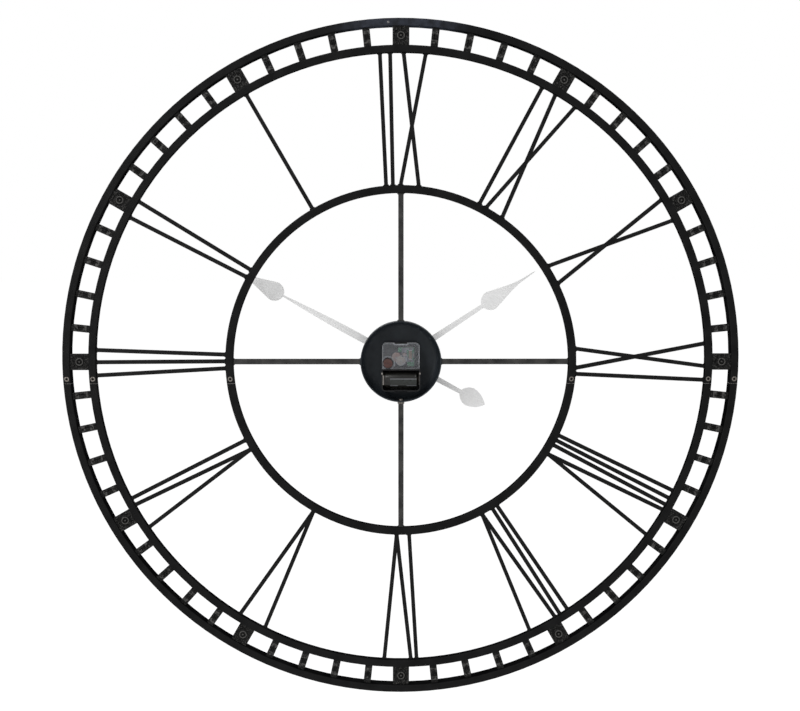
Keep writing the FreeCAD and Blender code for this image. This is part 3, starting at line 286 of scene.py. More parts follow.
def plate_paint():
    """Lighter collar and centre on each hour plate, a twelfth of a turn apart: painted highlights on the
    raised relief, partly rubbed paint.
    """
    paint, (x, z, radius, radial), colour, flecks = cast_paint("plate_paint")
    hour_step = math.radians(30)
    turns = paint.math("DIVIDE", paint.math("ARCTAN2", x, z), hour_step)
    off = paint.math("SUBTRACT", turns, paint.math("ROUND", turns))
    across = paint.math("MULTIPLY", paint.math("MULTIPLY", off, hour_step), radius)
    rho = paint.hypot(across, radial)
    # Painted highlight: the raised collar and the centre are coloured light grey, partly as rubbed paint.
    collar = paint.math("COMPARE", rho, 4.9 * MM, 0.75 * MM)
    centre = paint.math("LESS_THAN", rho, 1.1 * MM)
    collar_highlight = paint.math("MAXIMUM", collar, centre)
    rim = paint.math("MULTIPLY", paint.math("GREATER_THAN", rho, 9.2 * MM), 0.45)
    collar_highlight = paint.math("MULTIPLY", collar_highlight, paint.spread(paint.grain(2.2, 3.0), 0.30, 0.55, 0.35, 1.0))
    share = paint.math("MAXIMUM", collar_highlight, paint.math("MULTIPLY", flecks, paint.math("ADD", rim, 0.4)))
    paint.colour(paint.blend(share, colour, (0.088, 0.086, 0.082)))
    return paint


def minute_paint():
    """Minute bars, lighter grey on either side of the middle: painted highlights on the raised ends, partly
    rubbed paint.
    """
    paint, (_, _, _, radial), colour, flecks = cast_paint("minute_paint")
    # Painted highlights: both ends of each bar are coloured grey where the relief stands up, partly as rubbed
    # paint.
    ends = paint.math("COMPARE", paint.math("ABSOLUTE", radial), 6.6 * MM, 2.6 * MM)
    patches = paint.spread(paint.grain(3.4, 3.0), 0.42, 0.60)
    share = paint.math("MULTIPLY", ends, paint.math("MULTIPLY", patches, 0.9))
    share = paint.math("MAXIMUM", share, paint.math("MULTIPLY", flecks, 0.35))
    paint.colour(paint.blend(share, colour, (0.085, 0.083, 0.080)))
    return paint


def hand_lacquer(name, angle):
    """Light grey lacquer over sheet aluminium, faintly streaked along the hand."""
    paint = Paint(name, 0.0, Specular_IOR_Level=0.4)
    streaks = paint.grain(1.0, 4.0, (3.2, 3.2, 0.09), math.radians(angle))
    specks = paint.grain(0.35, 2.0)
    tone = paint.blend(paint.spread(streaks, 0.3, 0.7), (0.66, 0.66, 0.66), (0.88, 0.88, 0.88))
    tone = paint.blend(paint.spread(specks, 0.66, 0.72, 0.0, 0.6), tone, (0.58, 0.58, 0.58))
    rubbed = paint.math("MULTIPLY", paint.edges(0.3), 0.6)
    paint.colour(paint.blend(rubbed, tone, (0.86, 0.86, 0.85)))
    paint.roughness(paint.spread(streaks, 0.3, 0.7, 0.34, 0.5))
    paint.bump(streaks, 0.03)
    return paint


def clear_plastic():
    """Clear polystyrene, a little hazy, with flow marks and fine scratches."""
    paint = Paint("clear_cover", 0.0, IOR=1.42)
    frosted = paint.spread(paint.edges(1.2), 0.0, 1.0, 0.955, 0.25)
    paint.tree.links.new(frosted, paint.shader.inputs["Transmission Weight"])
    scratches = paint.grain(1.0, 3.0, (0.4, 0.4, 6.0), 0.7)
    haze = paint.grain(6.0, 4.0)
    paint.colour(paint.blend(paint.spread(haze, 0.3, 0.7), (0.74, 0.77, 0.82), (0.86, 0.88, 0.92)))
    paint.roughness(paint.spread(haze, 0.3, 0.7, 0.10, 0.22))
    paint.bump(scratches, 0.004)
    return paint


def board_mask():
    """Green solder mask over a faint glass weave."""
    paint = Paint("board_mask", 0.0, Coat_Weight=0.5, Coat_Roughness=0.15)
    x, _, z = paint.coordinates()
    pitch = 2 * math.pi / (0.5 * MM)
    warp = paint.math("SINE", paint.math("MULTIPLY", x, pitch))
    weft = paint.math("SINE", paint.math("MULTIPLY", z, pitch))
    weave = paint.math("MULTIPLY", warp, weft)
    tone = paint.blend(paint.spread(weave, -1.0, 1.0), (0.05, 0.20, 0.10), (0.08, 0.30, 0.15))
    paint.colour(paint.blend(paint.spread(paint.grain(5.0), 0.4, 0.7, 0.0, 0.5), tone, (0.10, 0.34, 0.19)))
    paint.roughness(paint.spread(paint.grain(2.0), 0.3, 0.7, 0.3, 0.45))
    paint.bump(weave, 0.01)
    return paint


def cell_jacket():
    """Black shrink film with a lighter grey band between two thin light stripes; the stripes are painted
    highlights along the cell.
    """
    paint = Paint("cell_jacket", 0.0, Specular_IOR_Level=0.3, Coat_Weight=0.15, Coat_Roughness=0.2)
    x, y, z = paint.coordinates()
    around = paint.math("ARCTAN2", paint.math("SUBTRACT", z, CELL_Z * MM),
                        paint.math("SUBTRACT", y, CELL_Y * MM))
    along = paint.math("COMPARE", x, -0.0035, 0.0195)
    # Painted highlights: two thin light stripes along the cell where lamps would glint on the film; the lower
    # one breaks in the middle.
    first = paint.math("COMPARE", around, math.radians(9.5), 0.045)
    second = paint.math("COMPARE", around, math.radians(-38.0), 0.055)
    gap = paint.math("GREATER_THAN", paint.math("ABSOLUTE", paint.math("ADD", x, 0.002)), 0.0065)
    painted_highlights = paint.math("MAXIMUM", first, paint.math("MULTIPLY", second, gap))
    painted_highlights = paint.math("MULTIPLY", painted_highlights, along)
    lighter_band = paint.math("MULTIPLY", paint.math("COMPARE", around, math.radians(-14.0), 0.40), along)
    film = paint.blend(paint.spread(paint.grain(4.0), 0.3, 0.7),
                       (0.006, 0.006, 0.006), (0.016, 0.015, 0.013))
    film = paint.blend(paint.math("MULTIPLY", lighter_band, paint.spread(paint.grain(3.0), 0.3, 0.65, 0.2, 1.0)),
                       film, (0.026, 0.030, 0.028))
    paint.colour(paint.blend(painted_highlights, film, (0.15, 0.155, 0.165)))
    paint.roughness(paint.spread(paint.grain(6.0), 0.3, 0.7, 0.25, 0.42))
    paint.bump(paint.grain(3.5, 3.0, (0.35, 1.0, 1.0)), 0.05)
    return paint


def copper_enamel():
    """Enamelled copper wire, streaked across the winding."""
    paint = Paint("copper_enamel", 0.75, Coat_Weight=0.7, Coat_Roughness=0.2)
    turns = paint.grain(0.5, 2.0, (0.4, 0.4, 3.0))
    paint.colour(paint.blend(paint.spread(turns, 0.35, 0.65), (0.30, 0.21, 0.14), (0.48, 0.37, 0.27)))
    paint.roughness(paint.spread(turns, 0.3, 0.7, 0.28, 0.45))
    paint.bump(turns, 0.01)
    return paint


BLACK_LOW = (0.0020, 0.0020, 0.0022)
BLACK_HIGH = (0.0065, 0.0065, 0.0066)
BLACK_WORN = (0.035, 0.035, 0.034)

PAINTS = {
    "ring": ring_paint(),
    "bar": mottled("bar_paint", BLACK_LOW, BLACK_HIGH, (0.34, 0.52), 14.0, 1.0, 0.035,
                   worn=BLACK_WORN, edge=0.6, sheen=0.16),
    # The spokes' black is lighter than the rings' black: painted light falling from above on the spokes,
    # partly rubbed paint.
    "spoke": mottled("spoke_paint", (0.014, 0.014, 0.014), (0.046, 0.045, 0.043), (0.34, 0.52),
                     18.0, 0.9, 0.04, worn=(0.05, 0.05, 0.048), edge=0.7, sheen=0.25),
    "plate": plate_paint(),
    "minute": minute_paint(),
    "cup": cup_paint(),
    "zinc": mottled("zinc_plate", (0.11, 0.10, 0.09), (0.24, 0.22, 0.20), (0.30, 0.48), 1.6, 0.5, 0.02,
                    metallic=1.0, worn=(0.34, 0.31, 0.28), edge=0.3),
    "nickel": mottled("nickel_plate", (0.27, 0.25, 0.235), (0.40, 0.375, 0.35), (0.24, 0.40), 2.5, 0.4, 0.01,
                      metallic=1.0, worn=(0.50, 0.48, 0.45), edge=0.2),
    "screw": screw_paint(),
    "iron": mottled("soft_iron", (0.20, 0.20, 0.21), (0.33, 0.33, 0.34), (0.36, 0.55), 3.0, 0.4, 0.015,
                    metallic=1.0, worn=(0.5, 0.5, 0.5), edge=0.2),
    "brass": mottled("turned_brass", (0.66, 0.47, 0.18), (0.82, 0.62, 0.30), (0.20, 0.36), 3.0, 0.3, 0.012,
                     metallic=1.0, worn=(0.90, 0.74, 0.42), edge=0.25),
    "rubber": mottled("black_rubber", (0.018, 0.018, 0.018), (0.035, 0.035, 0.034), (0.7, 0.88),
                      3.0, 0.5, 0.04, worn=(0.06, 0.06, 0.06), edge=0.4),
    "case": mottled("case_plastic", (0.005, 0.005, 0.0055), (0.012, 0.012, 0.013), (0.34, 0.52),
                    8.0, 0.45, 0.03, worn=(0.050, 0.052, 0.056), edge=0.5, Specular_IOR_Level=0.25),
    "clear": clear_plastic(),
    "cell": cell_jacket(),
    "white": mottled("white_acetal", (0.78, 0.77, 0.72), (0.90, 0.89, 0.86), (0.28, 0.42), 3.0, 0.4, 0.012,
                     worn=(0.95, 0.95, 0.93), edge=0.2, Subsurface_Weight=0.15, Subsurface_Scale=0.001),
    "ivory": mottled("ivory_acetal", (0.68, 0.57, 0.48), (0.84, 0.74, 0.65), (0.28, 0.42), 3.0, 0.4, 0.012,
                     worn=(0.88, 0.84, 0.80), edge=0.2, Subsurface_Weight=0.15, Subsurface_Scale=0.001),
    "rose": mottled("rose_acetal", (0.46, 0.30, 0.24), (0.60, 0.42, 0.34), (0.28, 0.42), 3.0, 0.4, 0.012,
                    worn=(0.74, 0.62, 0.56), edge=0.2, Subsurface_Weight=0.15, Subsurface_Scale=0.001),
    "red": mottled("red_nylon", (0.040, 0.015, 0.012), (0.095, 0.036, 0.029), (0.30, 0.48), 3.0, 0.5, 0.03,
                   worn=(0.24, 0.13, 0.11), edge=0.35),
    "smoke": mottled("smoke_plastic", (0.020, 0.020, 0.022), (0.034, 0.034, 0.036), (0.35, 0.50),
                     5.0, 0.4, 0.02, worn=(0.08, 0.08, 0.085), edge=0.25),
    "board": board_mask(),
    "resin": mottled("chip_resin", (0.008, 0.008, 0.008), (0.022, 0.021, 0.020), (0.22, 0.38), 1.5, 0.5, 0.03,
                     worn=(0.04, 0.04, 0.04), edge=0.2),
    "solder": mottled("solder", (0.52, 0.52, 0.52), (0.74, 0.74, 0.73), (0.20, 0.40), 0.8, 0.3, 0.02,
                      metallic=1.0),
    "copper": copper_enamel(),
    "hour_hand": hand_lacquer("hour_hand_lacquer", HOUR_HAND_ANGLE),
    "minute_hand": hand_lacquer("minute_hand_lacquer", MINUTE_HAND_ANGLE),
    "weld": mottled("weld_paint", (0.003, 0.003, 0.003), (0.013, 0.0128, 0.0122), (0.30, 0.48),
                    2.0, 0.5, 0.06, worn=(0.05, 0.049, 0.047), edge=0.4, sheen=0.2),
}


def dress(node_names, paint):
    """Give CAD nodes one of the paints."""
    for name in node_names:
        data = nodes[name].data
        data.materials.clear()
        data.materials.append(PAINTS[paint].material)


def soften(node_names, width_mm, segments=2):
    """Round the sharp edges of CAD nodes, without changing their meshes."""
    for name in node_names:
        obj = nodes[name]
        weld = obj.modifiers.new("weld", "WELD")
        weld.merge_threshold = 0.002 * MM
        bevel = obj.modifiers.new("bevel", "BEVEL")
        bevel.width = width_mm * MM
        bevel.segments = segments
        bevel.limit_method = "ANGLE"
        bevel.angle_limit = math.radians(40)
        bevel.use_clamp_overlap = True


RING_NODES = [ring + half for ring in ("outer_ring", "chapter_ring", "inner_ring")
              for half in ("_upper", "_lower")]
NUMERAL_NODES = ["numeral_" + name for name in NUMERALS]
SPOKE_NODES = ["spokes_upper", "spoke_lower"]

dress(RING_NODES, "ring")
dress(NUMERAL_NODES, "bar")
dress(SPOKE_NODES, "spoke")
dress(["hub_cup"], "cup")
dress(["splice_screws"], "screw")
dress(["splice_tongues", "hub_screw", "hub_jam_nut", "coil_screws"], "zinc")
dress(["movement_case"], "case")
dress(["movement_cover"], "clear")
dress(["battery_plate", "battery_spring", "quartz_crystal"], "nickel")
dress(["mounting_bushing", "mounting_nut", "brass_washer", "minute_arbor", "hour_hand_collet",
       "minute_hand_collet", "hand_nut"], "brass")
dress(["rubber_washer"], "rubber")
dress(["train_plate"], "smoke")
dress(["second_wheel"], "ivory")
dress(["coil_bobbin", "intermediate_wheel", "minute_gear",
       "motion_wheel", "hour_wheel"], "white")
dress(["rotor", "third_wheel"], "rose")
dress(["circuit_board"], "board")
dress(["stator_plate", "coil_core"], "iron")
dress(["setting_knob"], "red")
dress(["hour_hand"], "hour_hand")
dress(["minute_hand"], "minute_hand")

soften(NUMERAL_NODES, 0.45)
soften(SPOKE_NODES, 0.9, 3)
soften(["movement_case"], 0.35)
soften(["movement_cover"], 0.45)
soften(["hour_hand", "minute_hand"], 0.22)
soften(["mounting_nut", "hub_jam_nut"], 0.35)
soften(["setting_knob", "battery_plate", "battery_spring"], 0.12)


# ---------------------------------------------------------------------------
# Mesh helpers.  Outlines are in millimetres; meshes are in metres.
# ---------------------------------------------------------------------------

def finish_mesh(name, bm, paint, sharp=40.0):
    """Turn a bmesh in millimetres into a smooth-shaded piece that rides on the clock."""
    bmesh.ops.recalc_face_normals(bm, faces=bm.faces)
    bmesh.ops.scale(bm, vec=(MM, MM, MM), verts=bm.verts)
    mesh = bpy.data.meshes.new(name)
    bm.to_mesh(mesh)
    bm.free()
    for polygon in mesh.polygons:
        polygon.use_smooth = True
    mesh.set_sharp_from_angle(angle=math.radians(sharp))
    mesh.materials.append(PAINTS[paint].material)
    obj = bpy.data.objects.new(name, mesh)
    bpy.context.scene.collection.objects.link(obj)
    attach(obj, "clock")
    return obj


def dial_point(across, radial, y, angle):
    """A point given beside and along the line of a clock angle in degrees."""
    a = math.radians(angle)
    return Vector((radial * math.sin(a) + across * math.cos(a), y,
                   radial * math.cos(a) - across * math.sin(a)))


def roughen(point, size, height, seed):
    """A small offset from smooth noise, different for each seed."""
    return height * noise.noise(Vector((point[0] / size + 17.0 * seed, point[1] / size, 3.1 * seed)))


def ridge(value, centre, half_width):
    """A smooth ridge of height 1 at centre."""
    share = (value - centre) / half_width
    return max(0.0, 1.0 - share * share) ** 2


RING_OVERLAP = 0.2  # how far a slab reaches into the two rings it is fixed to


def circle_angles(count):
    return [2 * math.pi * i / count for i in range(count)]


def relief_slab(bm, angle, half, step, back, front):
    """A slab from the chapter ring to the outer ring; back and front give y for a point."""
    columns = round(2 * half / step)
    rows = round((OUTER_RING_INSIDE - CHAPTER_RING_OUTSIDE) / step)
    sides = []
    for height in (back, front):
        grid = []
        for i in range(columns + 1):
            across = -half + 2 * half * i / columns
            low = math.sqrt(CHAPTER_RING_OUTSIDE ** 2 - across ** 2) - RING_OVERLAP
            high = math.sqrt(OUTER_RING_INSIDE ** 2 - across ** 2) + RING_OVERLAP
            line = []
            for j in range(rows + 1):
                radial = low + (high - low) * j / rows
                y = height(across, radial - PLATE_CENTRE)
                line.append(bm.verts.new(dial_point(across, radial, y, angle)))
            grid.append(line)
        for i in range(columns):
            for j in range(rows):
                bm.faces.new((grid[i][j], grid[i + 1][j], grid[i + 1][j + 1], grid[i][j + 1]))
        sides.append(grid)
    a, b = sides
    rim = [(i, 0) for i in range(columns)] + [(columns, j) for j in range(rows)]
    rim += [(i, rows) for i in range(columns, 0, -1)] + [(0, j) for j in range(rows, 0, -1)]
    for here, there in zip(rim, rim[1:] + rim[:1]):
        bm.faces.new((a[here[0]][here[1]], a[there[0]][there[1]],
                      b[there[0]][there[1]], b[here[0]][here[1]]))


# ---------------------------------------------------------------------------
# Hour plates and minute bars: cast pieces with a relief on both faces
# ---------------------------------------------------------------------------

PLATE_HALF = 12.2
PLATE_BACK = -2.6
PLATE_FRONT = -6.0
PLATE_GRID = 0.55  # spacing of the relief's points
BAR_HALF = 5.4
BAR_FRONT = -6.6
BAR_GRID = 0.72


def rim_fall(value, half, width):
    """How far an edge is rounded over, from 0 inside to 1 at the edge."""
    share = max(0.0, (abs(value) - (half - width)) / width)
    return share * share


def hour_plate(bm, hour):
    """A square plate: a dished rosette behind, a raised one in front."""

    def back(u, w):
        r = math.hypot(u, w)
        petals = 0.5 + 0.5 * math.cos(8 * math.atan2(w, u))
        dish = ridge(r, 7.9, 2.9) * (1.0 + 0.7 * petals) + ridge(r, 2.9, 1.6) * 1.5
        collar = ridge(r, 4.9, 1.1) * 0.55 + ridge(r, 10.9, 0.9) * 0.4
        dots = ridge(math.hypot(abs(u) - 9.9, abs(w) - 11.0), 0.0, 1.3) * 0.7
        cast = roughen((u, w), 2.1, 0.34, hour) + roughen((u, w), 0.9, 0.16, hour + 20)
        return PLATE_BACK - dish + collar + dots + cast - 0.7 * rim_fall(u, PLATE_HALF, 0.8)

    def front(u, w):
        r = math.hypot(u, w)
        petals = 0.5 + 0.5 * math.cos(8 * math.atan2(w, u))
        rosette = ridge(r, 9.6, 1.7) * 1.6 + ridge(r, 5.6, 3.0) * (0.7 + 1.1 * petals)
        rosette += ridge(r, 0.0, 3.0) * 2.9
        frame_bead = ridge(abs(u), 11.0, 0.9) * 0.5
        dots = ridge(math.hypot(abs(u) - 9.6, abs(w) - 11.0), 0.0, 1.3) * 0.9
        cast = roughen((u, w), 2.6, 0.16, hour + 40)
        return PLATE_FRONT - rosette - frame_bead - dots + cast + 0.7 * rim_fall(u, PLATE_HALF, 0.8)

    relief_slab(bm, 30 * hour, PLATE_HALF, PLATE_GRID, back, front)


def minute_bar(bm, minute):
    """A short bar: two slots with lips behind, a leaf with a centre seam in front."""

    def back(u, w):
        along = max(0.0, abs(w) - 5.8)
        slot = ridge(math.hypot(u, along), 0.0, 2.3) * 1.5
        lip = ridge(math.hypot(u, along), 2.7, 1.0) * 0.45
        knobs = ridge(math.hypot(u, abs(w) - 10.9), 0.0, 1.5) * 0.6
        cast = roughen((u, w), 2.0, 0.42, minute + 60) + roughen((u, w), 0.9, 0.16, minute + 130)
        return PLATE_BACK - slot + lip + knobs + cast - 0.8 * rim_fall(u, BAR_HALF, 0.9)

    def front(u, w):
        crown = 1.6 * (u / BAR_HALF) ** 2
        leaf = ridge(abs(u) + 0.42 * abs(w), 2.6, 0.9) * 0.5
        seam = ridge(u, 0.0, 0.5) * 0.25
        cast = roughen((u, w), 2.6, 0.14, minute + 200)
        return BAR_FRONT + crown + leaf - seam + cast + 0.5 * rim_fall(u, BAR_HALF, 0.9)

    relief_slab(bm, 6 * minute, BAR_HALF, BAR_GRID, back, front)


def cast_group(name, cad_node, make, paint, places):
    """All castings of one kind on one half of the clock, in place of their CAD node."""
    bm = bmesh.new()
    for place in places:
        make(bm, place)
    piece = finish_mesh(name, bm, paint, sharp=55.0)
    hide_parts(cad_node)


cast_group("cast_hour_plates_upper", "hour_plates_upper", hour_plate, "plate", [9, 10, 11, 12, 1, 2, 3])
cast_group("cast_hour_plates_lower", "hour_plates_lower", hour_plate, "plate", [4, 5, 6, 7, 8])
cast_group("cast_minute_bars_upper", "minute_bars_upper", minute_bar, "minute",
           [m for m in range(-15, 16) if m % 5])
cast_group("cast_minute_bars_lower", "minute_bars_lower", minute_bar, "minute",
           [m for m in range(16, 45) if m % 5])


# ---------------------------------------------------------------------------
# Welds: a small bead in every corner between a bar and a ring
# ---------------------------------------------------------------------------

BEAD_HALF_DEPTH = 2.3


def bead(bm, centre, size, seed):
    """A lumpy bead, longer through the depth of the bar than it is wide."""
    made = bmesh.ops.create_icosphere(bm, subdivisions=2, radius=1.0)
    for vertex in made["verts"]:
        lump = 1.0 + 0.45 * noise.noise(vertex.co * 1.7 + Vector((seed * 5.3, 0.0, seed * 2.1)))
        vertex.co = Vector((vertex.co.x * size * lump, vertex.co.y * BEAD_HALF_DEPTH * lump,
                            vertex.co.z * size * lump)) + centre


def bar_ends(node, radius):
    """The clock angles of both corners of each bar end that meets a ring, from the CAD mesh."""
    spans = []
    mesh = nodes[node].data
    for polygon in mesh.polygons:
        points = [mesh.vertices[i].co / MM for i in polygon.vertices]
        if all(abs(math.hypot(p.x, p.z) - radius) < 0.05 for p in points):
            turns = [math.degrees(math.atan2(p.x, p.z)) % 360 for p in points]
            if max(turns) - min(turns) > 180:
                turns = [t - 360 if t > 180 else t for t in turns]
            spans.append([min(turns), max(turns)])
    merged = []
    for low, high in sorted(spans):
        if merged and low <= merged[-1][1] + 0.02:
            merged[-1][1] = max(merged[-1][1], high)
        else:
            merged.append([low, high])
    return [turn for span in merged for turn in span]


def welds(name, bars, radius, inwards, middle_y, size=1.25):
    """Beads along one ring; inwards is the side of the ring that the bars are on."""
    bm = bmesh.new()
    for number, node in enumerate(bars):
        for k, turn in enumerate(bar_ends(node, radius)):
            seed = number * 11 + k
            swell = 1.0 + 0.3 * noise.noise(Vector((seed * 1.9, 0.5, 0.5)))
            place = dial_point(0.0, radius + inwards * 0.45, middle_y, turn)
            bead(bm, place, size * swell, seed)
    finish_mesh(name, bm, "weld", sharp=80.0)


NUMERAL_MIDDLE = (NUMERAL_BACK + NUMERAL_FRONT) / 2
SPOKE_MIDDLE = -7.4
welds("welds_numerals_outside", NUMERAL_NODES, CHAPTER_RING_INSIDE, -1, NUMERAL_MIDDLE)
welds("welds_numerals_inside", NUMERAL_NODES, INNER_RING_OUTSIDE, 1, NUMERAL_MIDDLE)
welds("welds_spokes_ring", SPOKE_NODES, INNER_RING_INSIDE, -1, SPOKE_MIDDLE, 1.4)
welds("welds_spokes_cup", ["spokes_upper"], CUP_R, 1, SPOKE_MIDDLE, 1.3)


# ---------------------------------------------------------------------------
# Movement
# ---------------------------------------------------------------------------

FILM_SEAM = -0.05  # the lap of the film, a shallow step in its side
FILM_SEAM_SHARE = 24  # the step covers this fraction of a turn
FILM_SIDE_RADIUS = 12.0  # the film is beside the can, not over its end, outside this
FILM_PROFILE = [(-23.35, 11.3), (-23.5, 11.9), (-23.3, 12.5), (-22.7, 12.82), (-21.9, 12.85),
                (-21.6, 12.7), (-21.2, 12.7), (-20.9, 12.85), (0.0, 12.85), (22.6, 12.85),
                (23.0, 12.72), (23.5, 12.72), (24.0, 12.85), (24.5, 12.6), (24.85, 12.0), (24.8, 11.2)]
NEGATIVE_END = [(-23.2, 11.4), (-23.3, 10.6), (-23.1, 10.2), (-23.1, 6.5), (-23.5, 6.0), (-23.52, 0.4)]
POSITIVE_END = [(24.5, 11.3), (24.7, 10.6), (24.7, 4.4), (24.9, 3.6), (25.3, 3.3), (26.2, 3.2),
                (26.42, 2.8), (26.44, 0.4)]


def lathe_x(bm, profile, segments, seam=0.0):
    """Turn a profile of (x, radius) about the cell's axis."""
    rings = []
    for x, radius in profile:
        ring = []
        for i, a in enumerate(circle_angles(segments)):
            in_seam = i < segments // FILM_SEAM_SHARE and radius > FILM_SIDE_RADIUS
            r = radius + (seam if in_seam else 0.0)
            ring.append(bm.verts.new((x, CELL_Y + r * math.cos(a), CELL_Z + r * math.sin(a))))
        rings.append(ring)
    for near, far in zip(rings, rings[1:]):
        for i in range(segments):
            k = (i + 1) % segments
            bm.faces.new((near[i], near[k], far[k], far[i]))
    bm.faces.new(rings[0])
    bm.faces.new(rings[-1])


def cell():
    """A dry cell: shrink film over a steel can, with its two steel ends showing."""
    film = bmesh.new()
    lathe_x(film, FILM_PROFILE, 96, FILM_SEAM)
    jacket = finish_mesh("cell_jacket", film, "cell")
    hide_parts("battery")
    steel = bmesh.new()
    lathe_x(steel, NEGATIVE_END, 64)
    lathe_x(steel, POSITIVE_END, 64)
    finish_mesh("cell_ends", steel, "nickel")


def tube_along(bm, points, radius, sides=6):
    """A round wire through a list of points."""
    rings = []
    last = len(points) - 1
    for i, point in enumerate(points):
        before = points[max(i - 1, 0)]
        after = points[min(i + 1, last)]
        along = (after - before).normalized()
        side = along.cross(Vector((0.31, 0.17, 0.93))).normalized()
        up = along.cross(side)
        rings.append([bm.verts.new(point + radius * (math.cos(t) * side + math.sin(t) * up))
                      for t in circle_angles(sides)])
    for near, far in zip(rings, rings[1:]):
        for k in range(sides):
            n = (k + 1) % sides
            bm.faces.new((near[k], near[n], far[n], far[k]))
    bm.faces.new(rings[0])
    bm.faces.new(rings[-1])


def coil_turns():
    """The winding, turn by turn over a plain block, slightly uneven."""
    low, high = (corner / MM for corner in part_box("coil_winding"))
    middle = (low + high) / 2
    wire = 0.17
    half_x = (high.x - low.x) / 2 - wire
    half_y = (high.y - low.y) / 2 - wire
    corner = 0.7
    count = 34
    per_turn = 24
    points = []
    for i in range(count * per_turn):
        a = 2 * math.pi * i / per_turn
        x = math.copysign(min(half_x, abs(math.cos(a)) * (half_x + corner)), math.cos(a))
        y = math.copysign(min(half_y, abs(math.sin(a)) * (half_y + corner)), math.sin(a))
        z = low.z + wire + (high.z - low.z - 2 * wire) * i / (count * per_turn)
        slack = 0.05 * noise.noise(Vector((i * 0.05, 0.0, 0.0)))
        points.append(Vector((middle.x + x * (1 - abs(slack)), middle.y + y * (1 - abs(slack)), z)))
    bm = bmesh.new()
    tube_along(bm, points, wire)
    bmesh.ops.create_cube(bm, size=1.0)
    bm.verts.ensure_lookup_table()
    block_corners = bm.verts[-8:]
    for vertex in block_corners:
        vertex.co = Vector((middle.x + vertex.co.x * 2 * (half_x - 0.05),
                            middle.y + vertex.co.y * 2 * (half_y - 0.05),
                            middle.z + vertex.co.z * (high.z - low.z - 0.4)))
    winding = finish_mesh("coil_turns", bm, "copper", sharp=60.0)
    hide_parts("coil_winding")


def plate_track(bm, points, half, low, high):
    """A flat raised track through (x, z) points."""
    for (x0, z0), (x1, z1) in zip(points, points[1:]):
        along = Vector((x1 - x0, 0, z1 - z0)).normalized() * half
        across = Vector((along.z, 0, -along.x))
        start = Vector((x0, 0, z0)) - along
        end = Vector((x1, 0, z1)) + along
        corners = [start + across, end + across, end - across, start - across]
        lower = [bm.verts.new((c.x, low, c.z)) for c in corners]
        upper = [bm.verts.new((c.x, high, c.z)) for c in corners]
        bm.faces.new(upper)
        bm.faces.new(lower)
        for i in range(4):
            k = (i + 1) % 4
            bm.faces.new((lower[i], lower[k], upper[k], upper[i]))


def dome(bm, x, z, radius, low, height, sides=14, rings=4):
    """A round solder dome that stands on a surface at y = low."""
    top = bm.verts.new((x, low + height, z))
    previous = None
    for k in range(rings, 0, -1):
        a = math.pi / 2 * k / rings
        circle = [bm.verts.new((x + radius * math.sin(a) * math.cos(t), low + height * math.cos(a),
                                z + radius * math.sin(a) * math.sin(t)))
                  for t in circle_angles(sides)]
        if previous is None:
            bm.faces.new(circle)
        else:
            for i in range(sides):
                n = (i + 1) % sides
                bm.faces.new((previous[i], previous[n], circle[n], circle[i]))
        previous = circle
    for i in range(sides):
        bm.faces.new((previous[i], previous[(i + 1) % sides], top))


BOARD_TOP = -18.6
TRACKS = [[(-19.2, -3.0), (-19.2, 17.5), (-15.5, 17.5)],
          [(-15.6, -5.0), (-17.4, -3.6), (-17.4, 4.2)],
          [(-10.6, -5.4), (-10.0, -3.0), (-10.0, 11.6), (-7.0, 14.2), (2.6, 14.2)],
          [(-12.2, -7.2), (-10.2, -7.2)], [(-14.6, 19.4), (2.8, 19.4)],
          [(-6.5, 15.6), (3.2, 15.6)], [(-6.0, 17.2), (1.0, 17.2)]]
SOLDER_PLACES = [(-19.2, -3.0), (-17.4, 4.2), (-19.3, 12.4), (-12.4, -7.2), (-10.6, -5.4),
                 (2.8, 19.4), (3.2, 15.6), (-7.0, 14.2), (1.0, 17.2), (-14.6, 19.4)]
CHIPS = [(-4.0, 18.3, 2.0), (-1.0, 14.9, 1.6)]  # x, z and length


def board_parts():
    """Tracks, solder, a small capacitor and a resistor on the board."""
    tracks = bmesh.new()
    for points in TRACKS:
        plate_track(tracks, points, 0.22, BOARD_TOP - 0.02, BOARD_TOP + 0.06)
    finish_mesh("board_tracks", tracks, "board", sharp=30.0)
    joints = bmesh.new()
    for x, z in SOLDER_PLACES:
        dome(joints, x, z, 0.55, BOARD_TOP, 0.45)
    finish_mesh("solder_joints", joints, "solder")
    small = bmesh.new()
    for x, z, length in CHIPS:
        plate_track(small, [(x, z), (x + length, z)], 0.5, BOARD_TOP, BOARD_TOP + 0.7)
    chips = finish_mesh("board_chips", small, "resin", sharp=30.0)
    bevel = chips.modifiers.new("bevel", "BEVEL")
    bevel.width = 0.1 * MM
    bevel.segments = 2


cell()
coil_turns()
board_parts()


# ---------------------------------------------------------------------------
# Room, light and camera
# ---------------------------------------------------------------------------

FLOOR_Z = -0.62
FLOOR_HALF = 30.0
GLOW_BEYOND_DIAL = 0.79
GLOW_WALL_SIDE = 0.42
ROOM_BEYOND_DIAL = 1.0
ROOM_WALL_SIDE = 0.60


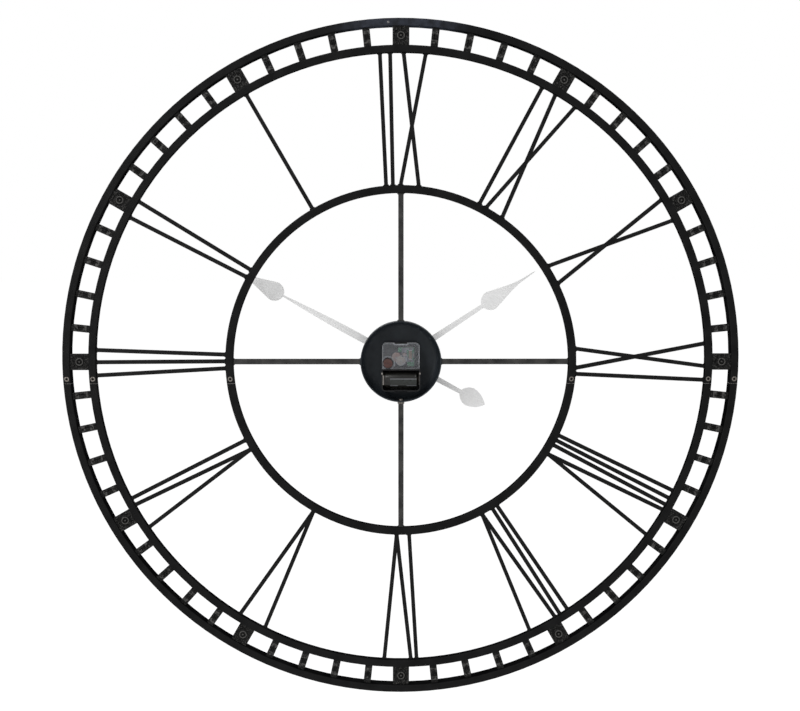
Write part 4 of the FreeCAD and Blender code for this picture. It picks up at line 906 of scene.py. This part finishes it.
def floor():
    """A wide pale floor below the clock; it glows, more beyond the dial than on the wall side."""
    bm = bmesh.new()
    bmesh.ops.create_grid(bm, x_segments=8, y_segments=8, size=FLOOR_HALF)
    mesh = bpy.data.meshes.new("floor")
    bm.to_mesh(mesh)
    bm.free()
    obj = bpy.data.objects.new("floor", mesh)
    obj.location.z = FLOOR_Z
    bpy.context.scene.collection.objects.link(obj)
    paint = Paint("floor_paper", 0.0, Specular_IOR_Level=0.0)
    paint.colour(paint.blend(paint.grain(400.0), (0.26, 0.26, 0.26), (0.28, 0.28, 0.28)))
    paint.roughness(paint.spread(paint.grain(30.0), 0.3, 0.7, 0.75, 0.85))
    paint.shader.inputs["Emission Color"].default_value = (1.0, 1.0, 1.0, 1.0)
    glow = paint.spread(paint.coordinates()[1], -0.1, 0.6,
                        GLOW_BEYOND_DIAL, GLOW_WALL_SIDE)
    paint.tree.links.new(glow, paint.shader.inputs["Emission Strength"])
    mesh.materials.append(paint.material)


def world():
    """A pale room: brightest beyond the dial, softer on the wall side."""
    made = bpy.data.worlds.new("room")
    made.use_nodes = True
    bpy.context.scene.world = made
    tree = made.node_tree
    background = tree.nodes["Background"]
    place = tree.nodes.new("ShaderNodeTexCoord")
    parts = tree.nodes.new("ShaderNodeSeparateXYZ")
    ramp = tree.nodes.new("ShaderNodeMapRange")
    tree.links.new(place.outputs["Generated"], parts.inputs[0])
    tree.links.new(parts.outputs["Y"], ramp.inputs["Value"])
    ramp.interpolation_type = "SMOOTHSTEP"
    ramp.inputs["From Min"].default_value = -0.45
    ramp.inputs["From Max"].default_value = 0.55
    ramp.inputs["To Min"].default_value = ROOM_BEYOND_DIAL
    ramp.inputs["To Max"].default_value = ROOM_WALL_SIDE
    tree.links.new(ramp.outputs[0], background.inputs["Strength"])
    background.inputs["Color"].default_value = (1.0, 1.0, 1.0, 1.0)


def soft_light(name, place, size, power):
    """A rectangular white light that faces the clock's centre."""
    data = bpy.data.lights.new(name, "AREA")
    data.shape = "RECTANGLE"
    data.size, data.size_y = size
    data.energy = power
    obj = bpy.data.objects.new(name, data)
    obj.location = place
    obj.rotation_mode = "QUATERNION"
    obj.rotation_quaternion = (-Vector(place)).to_track_quat("-Z", "Y")
    bpy.context.scene.collection.objects.link(obj)
    return obj


def camera():
    """Behind the clock and a little above it, aimed at the hub."""
    distance = 2.00
    azimuth = math.radians(179.6)
    elevation = math.radians(4.8)
    back = Vector((math.sin(azimuth) * math.cos(elevation), -math.cos(azimuth) * math.cos(elevation),
                   math.sin(elevation)))
    data = bpy.data.cameras.new("camera")
    data.sensor_width = 36.0
    data.lens = 60.9
    data.shift_x = -0.0012
    data.shift_y = 0.0080
    obj = bpy.data.objects.new("camera", data)
    obj.location = back * distance
    obj.rotation_mode = "QUATERNION"
    obj.rotation_quaternion = (-back).to_track_quat("-Z", "Y")
    bpy.context.scene.collection.objects.link(obj)
    bpy.context.scene.camera = obj


bpy.context.scene.view_settings.view_transform = "Standard"
floor()
world()
soft_light("key", (2.0, 2.3, 2.9), (1.8, 1.4), 64.0)
soft_light("fill", (-2.8, 2.2, 1.2), (1.2, 1.6), 5.0)
soft_light("sheen", (1.7, 3.0, 0.25), (0.6, 0.9), 8.0)
# The low fill only lifts the shade; it is kept out of reflections and of the clear cover.
low_fill = soft_light("low_fill", (-0.2, 2.4, 0.0), (0.9, 0.3), 2.5)
low_fill.visible_glossy = False
low_fill.visible_transmission = False
soft_light("front", (0.6, -3.2, 1.8), (1.8, 1.4), 5.0)
camera()
